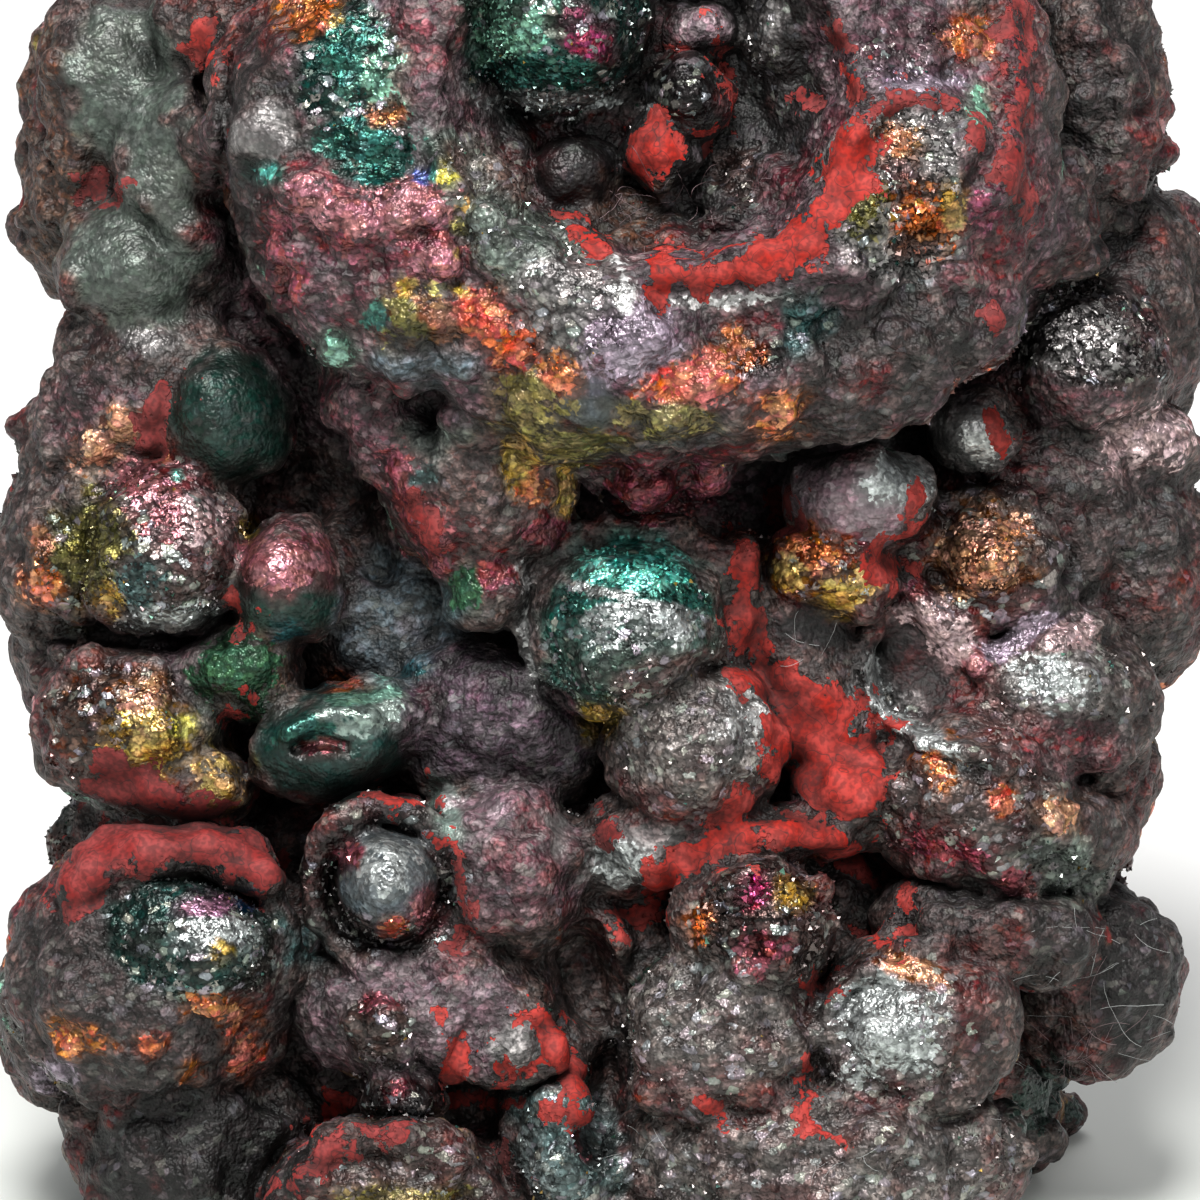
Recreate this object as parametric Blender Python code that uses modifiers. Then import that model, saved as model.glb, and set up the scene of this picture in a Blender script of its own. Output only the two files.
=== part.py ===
"""Iridescent goethite: a botryoidal specimen that grew as one piece, cut off flat where it stood on its rock.

The lumps are laid out on the specimen's face, in millimetres: right, up and forward from the middle of the face.
The face leans back, and the whole stands on the cut, with the origin in the middle of the cut.
"""

import math
import random

import bmesh
import bpy
from mathutils import Matrix, Vector

# Driving dimensions, in millimetres and degrees
FACE_LEAN = 18.0
FACE_MIDDLE_HEIGHT = 31.0
FACE_SETBACK = -2.08
FACE_SHIFT = -0.21
VIEWING_DISTANCE = 400.0
CRATER_CENTRE = (2.3, 25.8, 19.5)
CRATER_RADII = (10.0, 9.0, 10.5)

# The rows of knobs round the back and sides
BACK_WIDTH = 44.0
BACK_DEPTH = 17.0
BACK_CENTRE = 0.92
BACK_BOTTOM = 2.0
BACK_TOP = 64.0
BACK_ROWS = 9
BACK_KNOBS_PER_ROW = 10
BACK_WRAP = 8.0
BACK_FOOT_NARROWING = 0.87
BACK_DOME_START = 0.5
BACK_DOME_REACH = 0.62
BACK_KNOB_RADII = (3.4, 5.6)
BACK_KNOB_STRETCH = (0.8, 1.1)
BACK_KNOB_SHIFT = (1.5, 1.0, 2.0)
BACK_SEED = 11

# How uneven the skin is, how fine it is drawn, and the triangles that are kept
UNEVENNESS = 0.9
UNEVEN_SPACING = 5.0
SKIN_VOXEL = 0.55
CARVED_VOXEL = 0.5
CREASE_SOFTENING = 0.5
COLLAR_BALL_SPACING = 0.6
BALL_DETAIL = 3
MOST_TRIANGLES = 9900

MM = 0.001
BLACK_BROWN = (0.035, 0.028, 0.03, 1.0)

# Each lump: its name, its centre, its radii and how far it is rolled anticlockwise on the face
CORE = [
    ("upper core", (0.0, 18.5, -3.5), (26.0, 15.5, 9.5), 0),
    ("middle core", (0.0, 2.0, -8.5), (26.5, 22.0, 10.5), 0),
    ("lower core", (-0.5, -19.0, -8.0), (25.0, 16.0, 13.5), 0),
    ("foot", (-1.5, -31.0, -9.0), (22.0, 8.0, 18.0), 0),
]
TOP_LOBE = [
    ("crater lobe", (1.7, 22.6, 8.0), (20.4, 15.8, 11.0), 0),
    ("lower lip", (3.5, 10.9, 11.4), (11.5, 3.9, 6.6), 3),
    ("lower left lip", (-8.4, 14.6, 10.8), (7.5, 4.6, 7.2), -30),
    ("pink band", (-11.6, 19.6, 13.6), (5.8, 2.4, 4.0), -10),
    ("left cheek", (-13.8, 23.4, 9.6), (5.0, 6.6, 7.0), 8),
    ("left crest", (-5.6, 19.6, 14.6), (2.2, 6.4, 4.0), 38),
    ("bottom crest", (1.5, 13.4, 15.2), (5.4, 2.7, 4.0), -14),
    ("right rim", (11.2, 18.0, 14.6), (2.6, 5.4, 4.2), -52),
    ("drusy cheek", (16.4, 20.6, 11.6), (4.4, 5.0, 5.6), -20),
    ("right cheek", (19.2, 21.0, 8.0), (3.4, 8.4, 6.5), -8),
    ("right cheek top", (17.6, 29.0, 7.0), (4.0, 5.0, 6.5), 0),
    ("lower right lip", (14.2, 12.4, 10.0), (7.2, 3.4, 6.2), 26),
    ("left rim knob", (-17.0, 24.6, 9.0), (2.7, 4.0, 5.0), 0),
    ("low left lump", (-12.6, 14.9, 11.6), (2.8, 2.2, 3.4), -30),
    ("low middle lump", (-2.2, 10.4, 14.6), (2.4, 1.9, 2.8), 0),
    ("low right lump", (6.6, 10.6, 14.8), (2.8, 2.0, 2.8), 10),
]
CRATER_KNOBS = [
    ("crater floor", (2.2, 25.6, 6.4), (10.0, 9.2, 4.5), 0),
    ("large crater knob", (-2.0, 29.0, 12.2), (4.5, 4.4, 4.8), 0),
    ("small crater knob", (4.5, 25.6, 12.6), (2.1, 2.2, 2.6), 0),
    ("grey crater lump", (5.2, 28.4, 11.6), (2.0, 1.6, 2.5), 0),
    ("crater tongue", (2.8, 22.6, 11.4), (1.9, 1.7, 2.6), 25),
    ("crater back lump", (9.2, 29.0, 10.5), (2.6, 3.4, 3.2), 0),
    ("low crater knob", (-1.0, 21.6, 11.6), (2.1, 1.7, 2.2), 0),
]
LEFT_COLUMN = [
    ("first left knob", (-24.2, 26.2, 1.0), (4.0, 5.0, 4.6), 8),
    ("second left knob", (-21.0, 20.4, 3.4), (3.2, 5.6, 4.4), 10),
    ("third left knob", (-23.2, 16.6, 3.6), (3.6, 3.6, 4.0), 0),
    ("far left rim", (-26.6, 22.0, -3.5), (2.3, 7.0, 5.0), 0),
    ("left notch lump", (-19.0, 29.0, 3.5), (3.6, 3.6, 4.5), 0),
    ("left seam lump", (-24.0, 12.4, 0.5), (3.3, 3.2, 4.5), 0),
    ("dark left knob", (-18.8, 9.1, 5.0), (3.2, 3.6, 4.0), 0),
    ("left shoulder", (-23.8, 7.8, 0.0), (5.2, 5.0, 6.0), 0),
]
LEFT_KNOBS = [
    ("pink knob", (-21.6, 2.6, 5.4), (4.2, 4.4, 4.8), 0),
    ("olive lump", (-26.2, 2.6, 0.4), (4.2, 5.2, 6.0), 0),
    ("small pink knob", (-15.7, 0.8, 6.4), (2.7, 3.3, 3.6), 0),
    ("green patch lump", (-17.6, -3.4, 5.0), (3.0, 2.5, 3.6), 0),
    ("gold lump", (-23.4, -6.4, 3.4), (4.9, 4.2, 5.8), -8),
    ("red foot of the gold lump", (-21.4, -9.2, 3.8), (4.6, 2.4, 4.6), -6),
    ("left waist", (-24.0, -2.5, -2.5), (5.0, 5.0, 6.5), 0),
    ("teal long knob", (-13.3, -6.9, 6.2), (4.3, 2.9, 3.8), 24),
    ("blue-grey hollow floor", (-9.8, -1.2, 0.8), (6.0, 6.5, 4.4), 0),
]
MIDDLE_KNOBS = [
    ("pendant lobe", (-6.9, 6.9, 7.2), (4.6, 6.4, 5.4), 20),
    ("pendant shoulder", (-10.4, 9.6, 7.6), (3.6, 3.4, 4.8), -20),
    ("pendant right side", (-3.6, 5.6, 7.4), (2.4, 4.4, 4.0), -8),
    ("pendant tip", (-5.9, 0.7, 7.8), (2.1, 2.2, 2.8), 0),
    ("central knob", (1.6, -1.5, 8.2), (4.7, 4.4, 5.8), 0),
    ("crimson knob", (2.3, 5.9, 9.4), (2.0, 1.8, 2.8), 0),
    ("small crimson knob", (5.1, 6.4, 8.6), (1.5, 1.3, 2.4), 0),
    ("knob under the centre", (4.8, -7.0, 7.0), (4.4, 4.6, 5.4), 10),
    ("purple mass", (-4.8, -6.0, 3.2), (6.2, 4.6, 5.0), -12),
    ("red slope", (10.2, -3.6, 4.0), (3.4, 7.6, 4.6), 25),
    ("red foot", (12.4, -9.6, 5.0), (3.0, 2.6, 4.0), 0),
    ("mauve lump", (-4.8, -13.6, 5.8), (4.4, 4.8, 4.6), 0),
    ("red arch", (8.2, -12.0, 6.4), (5.4, 1.8, 3.6), 8),
    ("speckled left of the arch", (1.8, -12.0, 5.6), (3.6, 2.4, 4.0), 12),
    ("shadow lump", (-1.0, -17.2, 4.4), (3.0, 2.6, 3.6), 0),
]
RIGHT_KNOBS = [
    ("lavender lump", (12.9, 5.2, 7.2), (3.9, 2.8, 4.4), 0),
    ("orange drusy lump", (11.4, 1.6, 6.2), (3.4, 2.5, 4.0), -10),
    ("pale knob", (18.8, 8.6, 5.4), (2.1, 1.9, 2.8), 0),
    ("large right knob", (24.1, 11.8, 1.6), (4.3, 4.5, 5.0), 0),
    ("pink-white lump", (26.8, 7.4, -0.8), (3.5, 2.6, 4.6), 10),
    ("orange knob", (19.2, 2.0, 4.8), (2.8, 2.7, 3.6), 0),
    ("lower right eye knob", (22.8, -5.0, 3.0), (4.8, 4.4, 5.2), 0),
    ("right saddle", (22.0, 5.4, -1.0), (6.5, 5.0, 6.0), 0),
    ("far right shoulder", (26.6, 1.6, -2.6), (4.0, 6.0, 6.5), 0),
    ("upper right ridge", (24.2, 25.0, -1.5), (3.7, 9.0, 6.5), 0),
    ("right edge bulge", (27.0, 14.6, -3.6), (3.6, 6.2, 6.0), 0),
    ("far right waist", (24.8, -8.6, -1.5), (3.0, 5.0, 6.0), 0),
    ("speckled lobe", (19.0, -10.2, 4.8), (5.6, 4.6, 5.6), -12),
    ("speckled lobe edge", (23.0, -12.0, 2.4), (3.6, 3.6, 5.0), 0),
    ("dark ridge", (19.6, -16.2, 4.4), (5.6, 2.8, 5.0), -8),
    ("far right lobe", (24.6, -18.8, -1.6), (4.2, 5.2, 6.0), 0),
]
LOWER_KNOBS = [
    ("speckled knob", (7.8, -16.3, 8.2), (3.9, 3.8, 4.4), 0),
    ("silver-centred knob", (15.8, -21.2, 6.8), (5.0, 4.4, 4.8), 0),
    ("silver centre", (14.4, -21.4, 9.6), (2.3, 2.2, 2.6), 0),
    ("large grey knob", (6.0, -21.8, 7.0), (5.2, 4.6, 5.4), 0),
    ("lower right apron", (11.0, -28.2, 5.4), (10.0, 5.4, 6.6), 0),
    ("great left knob", (-22.4, -18.8, 3.6), (7.2, 6.9, 7.6), 0),
    ("knob on the great knob", (-20.5, -17.4, 8.0), (4.5, 3.6, 4.0), 6),
    ("far left lobe", (-27.2, -20.4, -2.0), (3.0, 4.8, 5.5), 0),
    ("lower left foot", (-20.5, -27.4, 0.0), (6.0, 5.6, 7.6), 0),
    ("silver eye knob", (-10.5, -14.2, 8.4), (2.9, 3.0, 3.6), 0),
    ("mauve apron", (-8.8, -19.8, 4.6), (6.6, 4.4, 5.4), 0),
    ("small round knob", (-11.0, -21.4, 8.4), (1.9, 1.8, 2.4), 0),
    ("ringed knob", (-4.3, -22.0, 8.0), (1.5, 1.5, 2.4), 0),
    ("dark low knob", (-9.9, -25.1, 7.6), (2.1, 1.5, 2.6), 0),
    ("grey-teal lump", (-1.6, -27.4, 5.4), (3.6, 4.6, 5.0), 0),
    ("bottom knob", (-10.6, -30.4, 6.6), (6.2, 4.6, 5.4), 0),
    ("bottom knob centre", (-10.0, -31.4, 9.8), (2.8, 2.3, 3.0), 0),
]

# Each collar round a knob: its name, its centre, its radii across and up, the radius of its tube,
# and how much further forward its top stands than its middle
COLLARS = [
    ("central collar", (1.9, -0.6, 8.0), (4.9, 4.3), 1.0, 0.6),
    ("crimson collar", (2.4, 5.9, 9.0), (2.5, 2.2), 0.6, 0.3),
    ("silver eye collar", (-10.7, -14.5, 8.6), (3.5, 3.8), 0.9, 0.4),
    ("orange knob collar", (18.9, 2.0, 6.0), (3.2, 2.7), 0.8, -0.3),
    ("hollow's collar", (16.2, -3.8, 6.4), (3.1, 3.2), 0.7, -0.4),
    ("ringed knob collar", (-4.3, -22.0, 9.0), (2.0, 2.0), 0.6, 0.2),
    ("silver centre collar", (14.4, -21.4, 10.2), (2.9, 2.8), 0.6, 0.3),
    ("great knob ridge", (-20.9, -17.4, 7.8), (5.2, 4.6), 1.0, 1.4),
    ("bottom knob collar", (-10.4, -31.4, 10.2), (4.8, 4.3), 1.2, 0.2),
    ("teal knob slit edge", (-13.4, -7.0, 9.2), (1.9, 1.1), 0.6, 0.0),
]

# Each hollow cut into the mass, given as a lump is
HOLLOWS = [
    ("crater", CRATER_CENTRE, CRATER_RADII, 0),
    ("left cavity", (-12.6, 5.2, 6.0), (2.0, 4.6, 4.6), 24),
    ("right cavity", (12.4, 8.6, 7.6), (4.2, 1.5, 4.6), 8),
    ("pendant pit", (-8.8, 9.8, 12.6), (1.9, 1.1, 2.0), 10),
    ("pit right of the red slope", (16.4, -3.6, 7.8), (2.8, 2.3, 3.2), 0),
    ("lower cavity", (-0.6, -19.4, 8.0), (1.9, 3.4, 5.4), 14),
    ("lower cavity foot", (0.4, -24.4, 7.4), (1.4, 3.6, 5.0), -8),
    ("left crevice", (-20.6, -2.2, 8.6), (2.6, 0.7, 2.4), -6),
    ("notch by the lobe", (-19.2, 25.4, 7.4), (1.1, 1.4, 2.6), 0),
    ("crater slit", (4.6, 19.6, 13.0), (1.4, 1.5, 2.2), -20),
]

LEAN = math.radians(FACE_LEAN)
FACE_AXES = Matrix(
    (
        (1.0, 0.0, 0.0),
        (0.0, math.sin(LEAN), -math.cos(LEAN)),
        (0.0, math.cos(LEAN), math.sin(LEAN)),
    )
).to_4x4()
FACE_MIDDLE = Vector((FACE_SHIFT, FACE_SETBACK, FACE_MIDDLE_HEIGHT))


def clear_scene():
    for thing in list(bpy.data.objects):
        bpy.data.objects.remove(thing, do_unlink=True)


def new_collection(name):
    collection = bpy.data.collections.new(name)
    bpy.context.scene.collection.children.link(collection)
    return collection


def on_the_face(centre):
    """The place of a point of the face, drawn in towards the middle where it stands nearer to the eye."""
    right, up, forward = centre
    nearness = 1.0 - forward / VIEWING_DISTANCE
    place = FACE_AXES @ Vector((right * nearness, up * nearness, forward))
    return (FACE_MIDDLE + place) * MM


def turned(centre, roll, scale):
    """The matrix that puts a shape at this centre of the face, rolled on it and scaled along the face's axes."""
    move = Matrix.Translation(on_the_face(centre))
    spin = Matrix.Rotation(math.radians(roll), 4, "Z")
    size = Matrix.Diagonal((*(s * MM for s in scale), 1.0))
    return move @ FACE_AXES @ spin @ size


def unit_ball(detail):
    mesh = bmesh.new()
    bmesh.ops.create_icosphere(mesh, subdivisions=detail, radius=1.0)
    data = bpy.data.meshes.new("unit ball")
    mesh.to_mesh(data)
    mesh.free()
    return data


def add_shape(mesh, shape, matrix):
    """Adds a copy of the shape, moved by the matrix."""
    copy = shape.copy()
    copy.transform(matrix)
    mesh.from_mesh(copy)
    bpy.data.meshes.remove(copy)


def ring_places(centre, radii, tip, count):
    for i in range(count):
        angle = 2 * math.pi * i / count
        right = centre[0] + radii[0] * math.cos(angle)
        up = centre[1] + radii[1] * math.sin(angle)
        yield right, up, centre[2] + tip * math.sin(angle)


def add_lumps(mesh, ball, lumps):
    for _, centre, radii, roll in lumps:
        add_shape(mesh, ball, turned(centre, roll, radii))


def add_collar(mesh, ball, centre, radii, tube, tip):
    """A ring of balls so close that they read as one ridge once the skin is drawn over them."""
    around = 2 * math.pi * sum(radii) / len(radii)
    count = round(around / (COLLAR_BALL_SPACING * tube))
    for place in ring_places(centre, radii, tip, count):
        add_shape(mesh, ball, turned(place, 0, (tube, tube, tube)))


def back_knobs():
    """Rows of knobs round the back and sides, each set a little off its row: their places and radii, upright."""
    chance = random.Random(BACK_SEED)
    for row in range(BACK_ROWS):
        share = row / (BACK_ROWS - 1)
        height = BACK_BOTTOM + (BACK_TOP - BACK_BOTTOM) * share
        dome = max(0.0, share - BACK_DOME_START) / BACK_DOME_REACH
        foot = BACK_FOOT_NARROWING + share * (1.0 - BACK_FOOT_NARROWING) / BACK_DOME_START
        girth = min(foot, math.sqrt(1.0 - dome * dome))
        for column in range(BACK_KNOBS_PER_ROW):
            along = (column + 0.5 * (row % 2)) / (BACK_KNOBS_PER_ROW - 0.5)
            turn = math.radians((180.0 + 2 * BACK_WRAP) * along - BACK_WRAP)
            on_row = (
                FACE_SHIFT + 0.5 * BACK_WIDTH * girth * math.cos(turn),
                BACK_CENTRE + BACK_DEPTH * girth * math.sin(turn),
                height,
            )
            place = [at + chance.uniform(-off, off) for at, off in zip(on_row, BACK_KNOB_SHIFT)]
            radius = chance.uniform(*BACK_KNOB_RADII)
            yield place, (radius, radius, radius * chance.uniform(*BACK_KNOB_STRETCH))


def object_from(mesh, name, collection):
    data = bpy.data.meshes.new(name)
    mesh.to_mesh(data)
    mesh.free()
    thing = bpy.data.objects.new(name, data)
    collection.objects.link(thing)
    return thing


def apply_modifiers(thing):
    """Gives the object the mesh that its modifiers make, and takes them off."""
    graph = bpy.context.evaluated_depsgraph_get()
    data = bpy.data.meshes.new_from_object(thing.evaluated_get(graph))
    thing.modifiers.clear()
    thing.data = data


def add_skin(thing, voxel, rounds):
    """Draws one closed skin over all that the object holds, and softens its creases."""
    skin = thing.modifiers.new("Skin", "REMESH")
    skin.mode = "VOXEL"
    skin.voxel_size = voxel * MM
    soften = thing.modifiers.new("Soften", "SMOOTH")
    soften.factor = CREASE_SOFTENING
    soften.iterations = rounds


def make_uneven(thing):
    """Moves the skin in and out a little, so that no knob is a true ball."""
    texture = bpy.data.textures.new("uneven growth", "CLOUDS")
    texture.noise_scale = UNEVEN_SPACING * MM
    texture.noise_depth = 1
    uneven = thing.modifiers.new("Uneven", "DISPLACE")
    uneven.texture = texture
    uneven.texture_coords = "LOCAL"
    uneven.strength = UNEVENNESS * MM
    uneven.mid_level = 0.5


def join_all(collection):
    ball = unit_ball(BALL_DETAIL)
    small_ball = unit_ball(BALL_DETAIL - 1)
    mesh = bmesh.new()
    for lumps in (CORE, TOP_LOBE, LEFT_COLUMN, LEFT_KNOBS, MIDDLE_KNOBS, RIGHT_KNOBS, LOWER_KNOBS):
        add_lumps(mesh, ball, lumps)
    for _, centre, radii, tube, tip in COLLARS:
        add_collar(mesh, small_ball, centre, radii, tube, tip)
    for place, radii in back_knobs():
        move = Matrix.Translation(Vector(place) * MM)
        size = Matrix.Diagonal((*(r * MM for r in radii), 1.0))
        add_shape(mesh, ball, move @ size)
    thing = object_from(mesh, "goethite", collection)
    add_skin(thing, SKIN_VOXEL, 1)
    apply_modifiers(thing)
    return thing


def cut_hollows(thing, guides):
    ball = unit_ball(BALL_DETAIL)
    for name, centre, radii, roll in HOLLOWS:
        cutter = bpy.data.objects.new(name + " cutter", ball.copy())
        cutter.data.transform(turned(centre, roll, radii))
        guides.objects.link(cutter)
        cutter.hide_render = True
        cutter.display_type = "WIRE"
        cut = thing.modifiers.new(name, "BOOLEAN")
        cut.operation = "DIFFERENCE"
        cut.solver = "EXACT"
        cut.object = cutter
    apply_modifiers(thing)


def add_crater_knobs(thing):
    """Sets the crater's knobs on its floor and draws the last skin over them."""
    mesh = bmesh.new()
    mesh.from_mesh(thing.data)
    add_lumps(mesh, unit_ball(BALL_DETAIL), CRATER_KNOBS)
    mesh.to_mesh(thing.data)
    mesh.free()
    add_skin(thing, CARVED_VOXEL, 2)
    make_uneven(thing)
    apply_modifiers(thing)


def connected_parts(mesh):
    """The mesh's points, grouped by what an edge joins."""
    waiting = set(mesh.verts)
    while waiting:
        reached = [waiting.pop()]
        for vert in reached:
            for edge in vert.link_edges:
                other = edge.other_vert(vert)
                if other in waiting:
                    waiting.remove(other)
                    reached.append(other)
        yield reached


def keep_outer_skin(thing):
    """Takes away the skins of bubbles that the knobs close off between them."""
    mesh = bmesh.new()
    mesh.from_mesh(thing.data)
    parts = sorted(connected_parts(mesh), key=len)
    for bubble in parts[:-1]:
        bmesh.ops.delete(mesh, geom=bubble, context="VERTS")
    mesh.to_mesh(thing.data)
    mesh.free()


def thin_out(thing):
    """Brings the skin down to the triangles that are kept."""
    triangles = sum(len(face.vertices) - 2 for face in thing.data.polygons)
    fewer = thing.modifiers.new("Fewer", "DECIMATE")
    fewer.ratio = MOST_TRIANGLES / triangles
    fewer.use_collapse_triangulate = True
    apply_modifiers(thing)


def cut_base(thing):
    """Cuts everything below the ground off and closes the cut with one flat face."""
    mesh = bmesh.new()
    mesh.from_mesh(thing.data)
    everything = mesh.verts[:] + mesh.edges[:] + mesh.faces[:]
    bmesh.ops.bisect_plane(
        mesh, geom=everything, plane_co=(0, 0, 0), plane_no=(0, 0, 1), clear_inner=True, dist=1e-6
    )
    rim = [edge for edge in mesh.edges if edge.is_boundary]
    bmesh.ops.triangle_fill(mesh, edges=rim, use_beauty=True, normal=(0, 0, -1))
    bmesh.ops.recalc_face_normals(mesh, faces=mesh.faces[:])
    mesh.to_mesh(thing.data)
    mesh.free()


def dark_goethite():
    material = bpy.data.materials.new("dark goethite")
    material.use_nodes = True
    shader = material.node_tree.nodes["Principled BSDF"]
    shader.inputs["Base Color"].default_value = BLACK_BROWN
    shader.inputs["Roughness"].default_value = 0.5
    shader.inputs["Metallic"].default_value = 0.2
    return material


def main():
    clear_scene()
    parts = new_collection("iridescent goethite")
    guides = new_collection("cutters")
    guides.hide_render = True
    goethite = join_all(parts)
    cut_hollows(goethite, guides)
    add_crater_knobs(goethite)
    keep_outer_skin(goethite)
    thin_out(goethite)
    cut_base(goethite)
    goethite.data.materials.append(dark_goethite())
    goethite.data.shade_smooth()


main()
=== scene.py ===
"""Iridescent goethite, dressed: the skin with its grain, coats and colours, its crystals and its lint.

Places on the specimen's face are in millimetres: right, up and forward from the middle of the face,
which leans back. Where a row gives only right and up, they are where the camera sees the spot, and
what lies there carries it. A last number after a row's radii is its roll anticlockwise, in degrees.
"""

import itertools
import math
import random

import bpy
import numpy as np
import openvdb as vdb
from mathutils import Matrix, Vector


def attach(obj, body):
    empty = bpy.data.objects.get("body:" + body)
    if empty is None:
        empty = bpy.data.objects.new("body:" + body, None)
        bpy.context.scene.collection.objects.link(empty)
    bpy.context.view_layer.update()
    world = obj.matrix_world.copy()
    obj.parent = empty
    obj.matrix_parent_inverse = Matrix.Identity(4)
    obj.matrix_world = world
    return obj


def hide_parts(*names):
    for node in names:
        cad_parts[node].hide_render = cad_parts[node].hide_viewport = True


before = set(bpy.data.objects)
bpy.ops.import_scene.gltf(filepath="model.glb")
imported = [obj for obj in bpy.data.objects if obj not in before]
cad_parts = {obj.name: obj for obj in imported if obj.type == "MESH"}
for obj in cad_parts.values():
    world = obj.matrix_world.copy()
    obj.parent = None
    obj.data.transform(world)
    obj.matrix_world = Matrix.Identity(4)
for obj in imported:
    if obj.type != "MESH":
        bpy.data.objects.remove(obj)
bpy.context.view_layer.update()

# The driving dimensions that the solid was made from, in millimetres and degrees
FACE_LEAN = 18.0
FACE_MIDDLE_HEIGHT = 31.0
FACE_SETBACK = -2.08
FACE_SHIFT = -0.21
VIEWING_DISTANCE = 400.0
VIEW_WIDTH = 60.0

# The rows of knobs that make the back and the sides
BACK_WIDTH = 44.0
BACK_DEPTH = 17.0
BACK_CENTRE = 0.92
BACK_BOTTOM = 2.0
BACK_TOP = 64.0
BACK_ROWS = 9
BACK_KNOBS_PER_ROW = 10
BACK_WRAP = 8.0
BACK_FOOT_NARROWING = 0.87
BACK_DOME_START = 0.5
BACK_DOME_REACH = 0.62
BACK_KNOB_RADII = (3.4, 5.6)
BACK_KNOB_STRETCH = (0.8, 1.1)
BACK_KNOB_SHIFT = (1.5, 1.0, 2.0)
BACK_SEED = 11

# The box of the face's frame in which the skin is worked out, how finely, and the distance that fills it
STEP = 0.3
LOW = (-33.0, -38.0, -37.0)
HIGH = (33.0, 46.0, 22.0)
FAR = 6.0

MM = 0.001
LEAN_COS = math.cos(math.radians(FACE_LEAN))
LEAN_SIN = math.sin(math.radians(FACE_LEAN))
THIRDS = (0, 2 * math.pi / 3, 4 * math.pi / 3)

# Each lump: its name, its centre and its radii
CORE = [
    ("upper core", (0.0, 18.5, -3.5), (26.0, 15.5, 9.5)),
    ("middle core", (0.0, 2.0, -8.5), (26.5, 22.0, 10.5)),
    ("lower core", (-0.5, -19.0, -8.0), (25.0, 16.0, 13.5)),
    ("foot", (-1.5, -31.0, -9.0), (22.0, 8.0, 18.0)),
]
TOP_LOBE = [
    ("crater lobe", (1.7, 22.6, 8.0), (20.4, 15.8, 11.0)),
    ("lower lip", (3.5, 10.9, 11.4), (11.5, 3.9, 6.6), 3),
    ("lower left lip", (-8.4, 14.6, 10.8), (7.5, 4.6, 7.2), -30),
    ("pink band", (-11.6, 19.6, 13.6), (5.8, 2.4, 4.0), -10),
    ("left cheek", (-13.8, 23.4, 9.6), (5.0, 6.6, 7.0), 8),
    ("left crest", (-5.6, 19.6, 14.6), (2.2, 6.4, 4.0), 38),
    ("bottom crest", (1.5, 13.4, 15.2), (5.4, 2.7, 4.0), -14),
    ("right rim", (11.2, 18.0, 14.6), (2.6, 5.4, 4.2), -52),
    ("drusy cheek", (16.4, 20.6, 11.6), (4.4, 5.0, 5.6), -20),
    ("right cheek", (19.2, 21.0, 8.0), (3.4, 8.4, 6.5), -8),
    ("right cheek top", (17.6, 29.0, 7.0), (4.0, 5.0, 6.5)),
    ("lower right lip", (14.2, 12.4, 10.0), (7.2, 3.4, 6.2), 26),
    ("left rim knob", (-17.0, 24.6, 9.0), (2.7, 4.0, 5.0)),
    ("low left lump", (-12.6, 14.9, 11.6), (2.8, 2.2, 3.4), -30),
    ("low middle lump", (-2.2, 10.4, 14.6), (2.4, 1.9, 2.8)),
    ("low right lump", (6.6, 10.6, 14.8), (2.8, 2.0, 2.8), 10),
]
CRATER_KNOBS = [
    ("crater floor", (2.2, 25.6, 6.4), (10.0, 9.2, 4.5)),
    ("large crater knob", (-2.0, 29.0, 12.2), (4.5, 4.4, 4.8)),
    ("small crater knob", (4.5, 25.6, 12.6), (2.1, 2.2, 2.6)),
    ("grey crater lump", (5.2, 28.4, 11.6), (2.0, 1.6, 2.5)),
    ("crater tongue", (2.8, 22.6, 11.4), (1.9, 1.7, 2.6), 25),
    ("crater back lump", (9.2, 29.0, 10.5), (2.6, 3.4, 3.2)),
    ("low crater knob", (-1.0, 21.6, 11.6), (2.1, 1.7, 2.2)),
]
LEFT_COLUMN = [
    ("first left knob", (-24.2, 26.2, 1.0), (4.0, 5.0, 4.6), 8),
    ("second left knob", (-21.0, 20.4, 3.4), (3.2, 5.6, 4.4), 10),
    ("third left knob", (-23.2, 16.6, 3.6), (3.6, 3.6, 4.0)),
    ("far left rim", (-26.6, 22.0, -3.5), (2.3, 7.0, 5.0)),
    ("left seam bed", (-25.4, 20.9, 0.2), (2.7, 2.4, 2.9)),
    ("left notch lump", (-19.0, 29.0, 3.5), (3.6, 3.6, 4.5)),
    ("left seam lump", (-24.0, 12.4, 0.5), (3.3, 3.2, 4.5)),
    ("dark left knob", (-18.8, 9.1, 5.0), (3.2, 3.6, 4.0)),
    ("left shoulder", (-23.8, 7.8, 0.0), (5.2, 5.0, 6.0)),
]
LEFT_KNOBS = [
    ("pink knob", (-21.6, 2.6, 5.4), (4.2, 4.4, 4.8)),
    ("olive lump", (-26.2, 2.6, 0.4), (4.2, 5.2, 6.0)),
    ("small pink knob", (-15.7, 0.8, 6.4), (2.7, 3.3, 3.6)),
    ("green patch lump", (-17.6, -3.4, 5.0), (3.0, 2.5, 3.6)),
    ("gold lump", (-23.4, -6.4, 3.4), (4.9, 4.2, 5.8), -8),
    ("red foot of the gold lump", (-21.4, -9.2, 3.8), (4.6, 2.4, 4.6), -6),
    ("left waist", (-24.0, -2.5, -2.5), (5.0, 5.0, 6.5)),
    ("teal long knob", (-13.3, -6.9, 6.2), (4.3, 2.9, 3.8), 24),
    ("blue-grey hollow floor", (-9.8, -1.2, 0.8), (6.0, 6.5, 4.4)),
]
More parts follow.
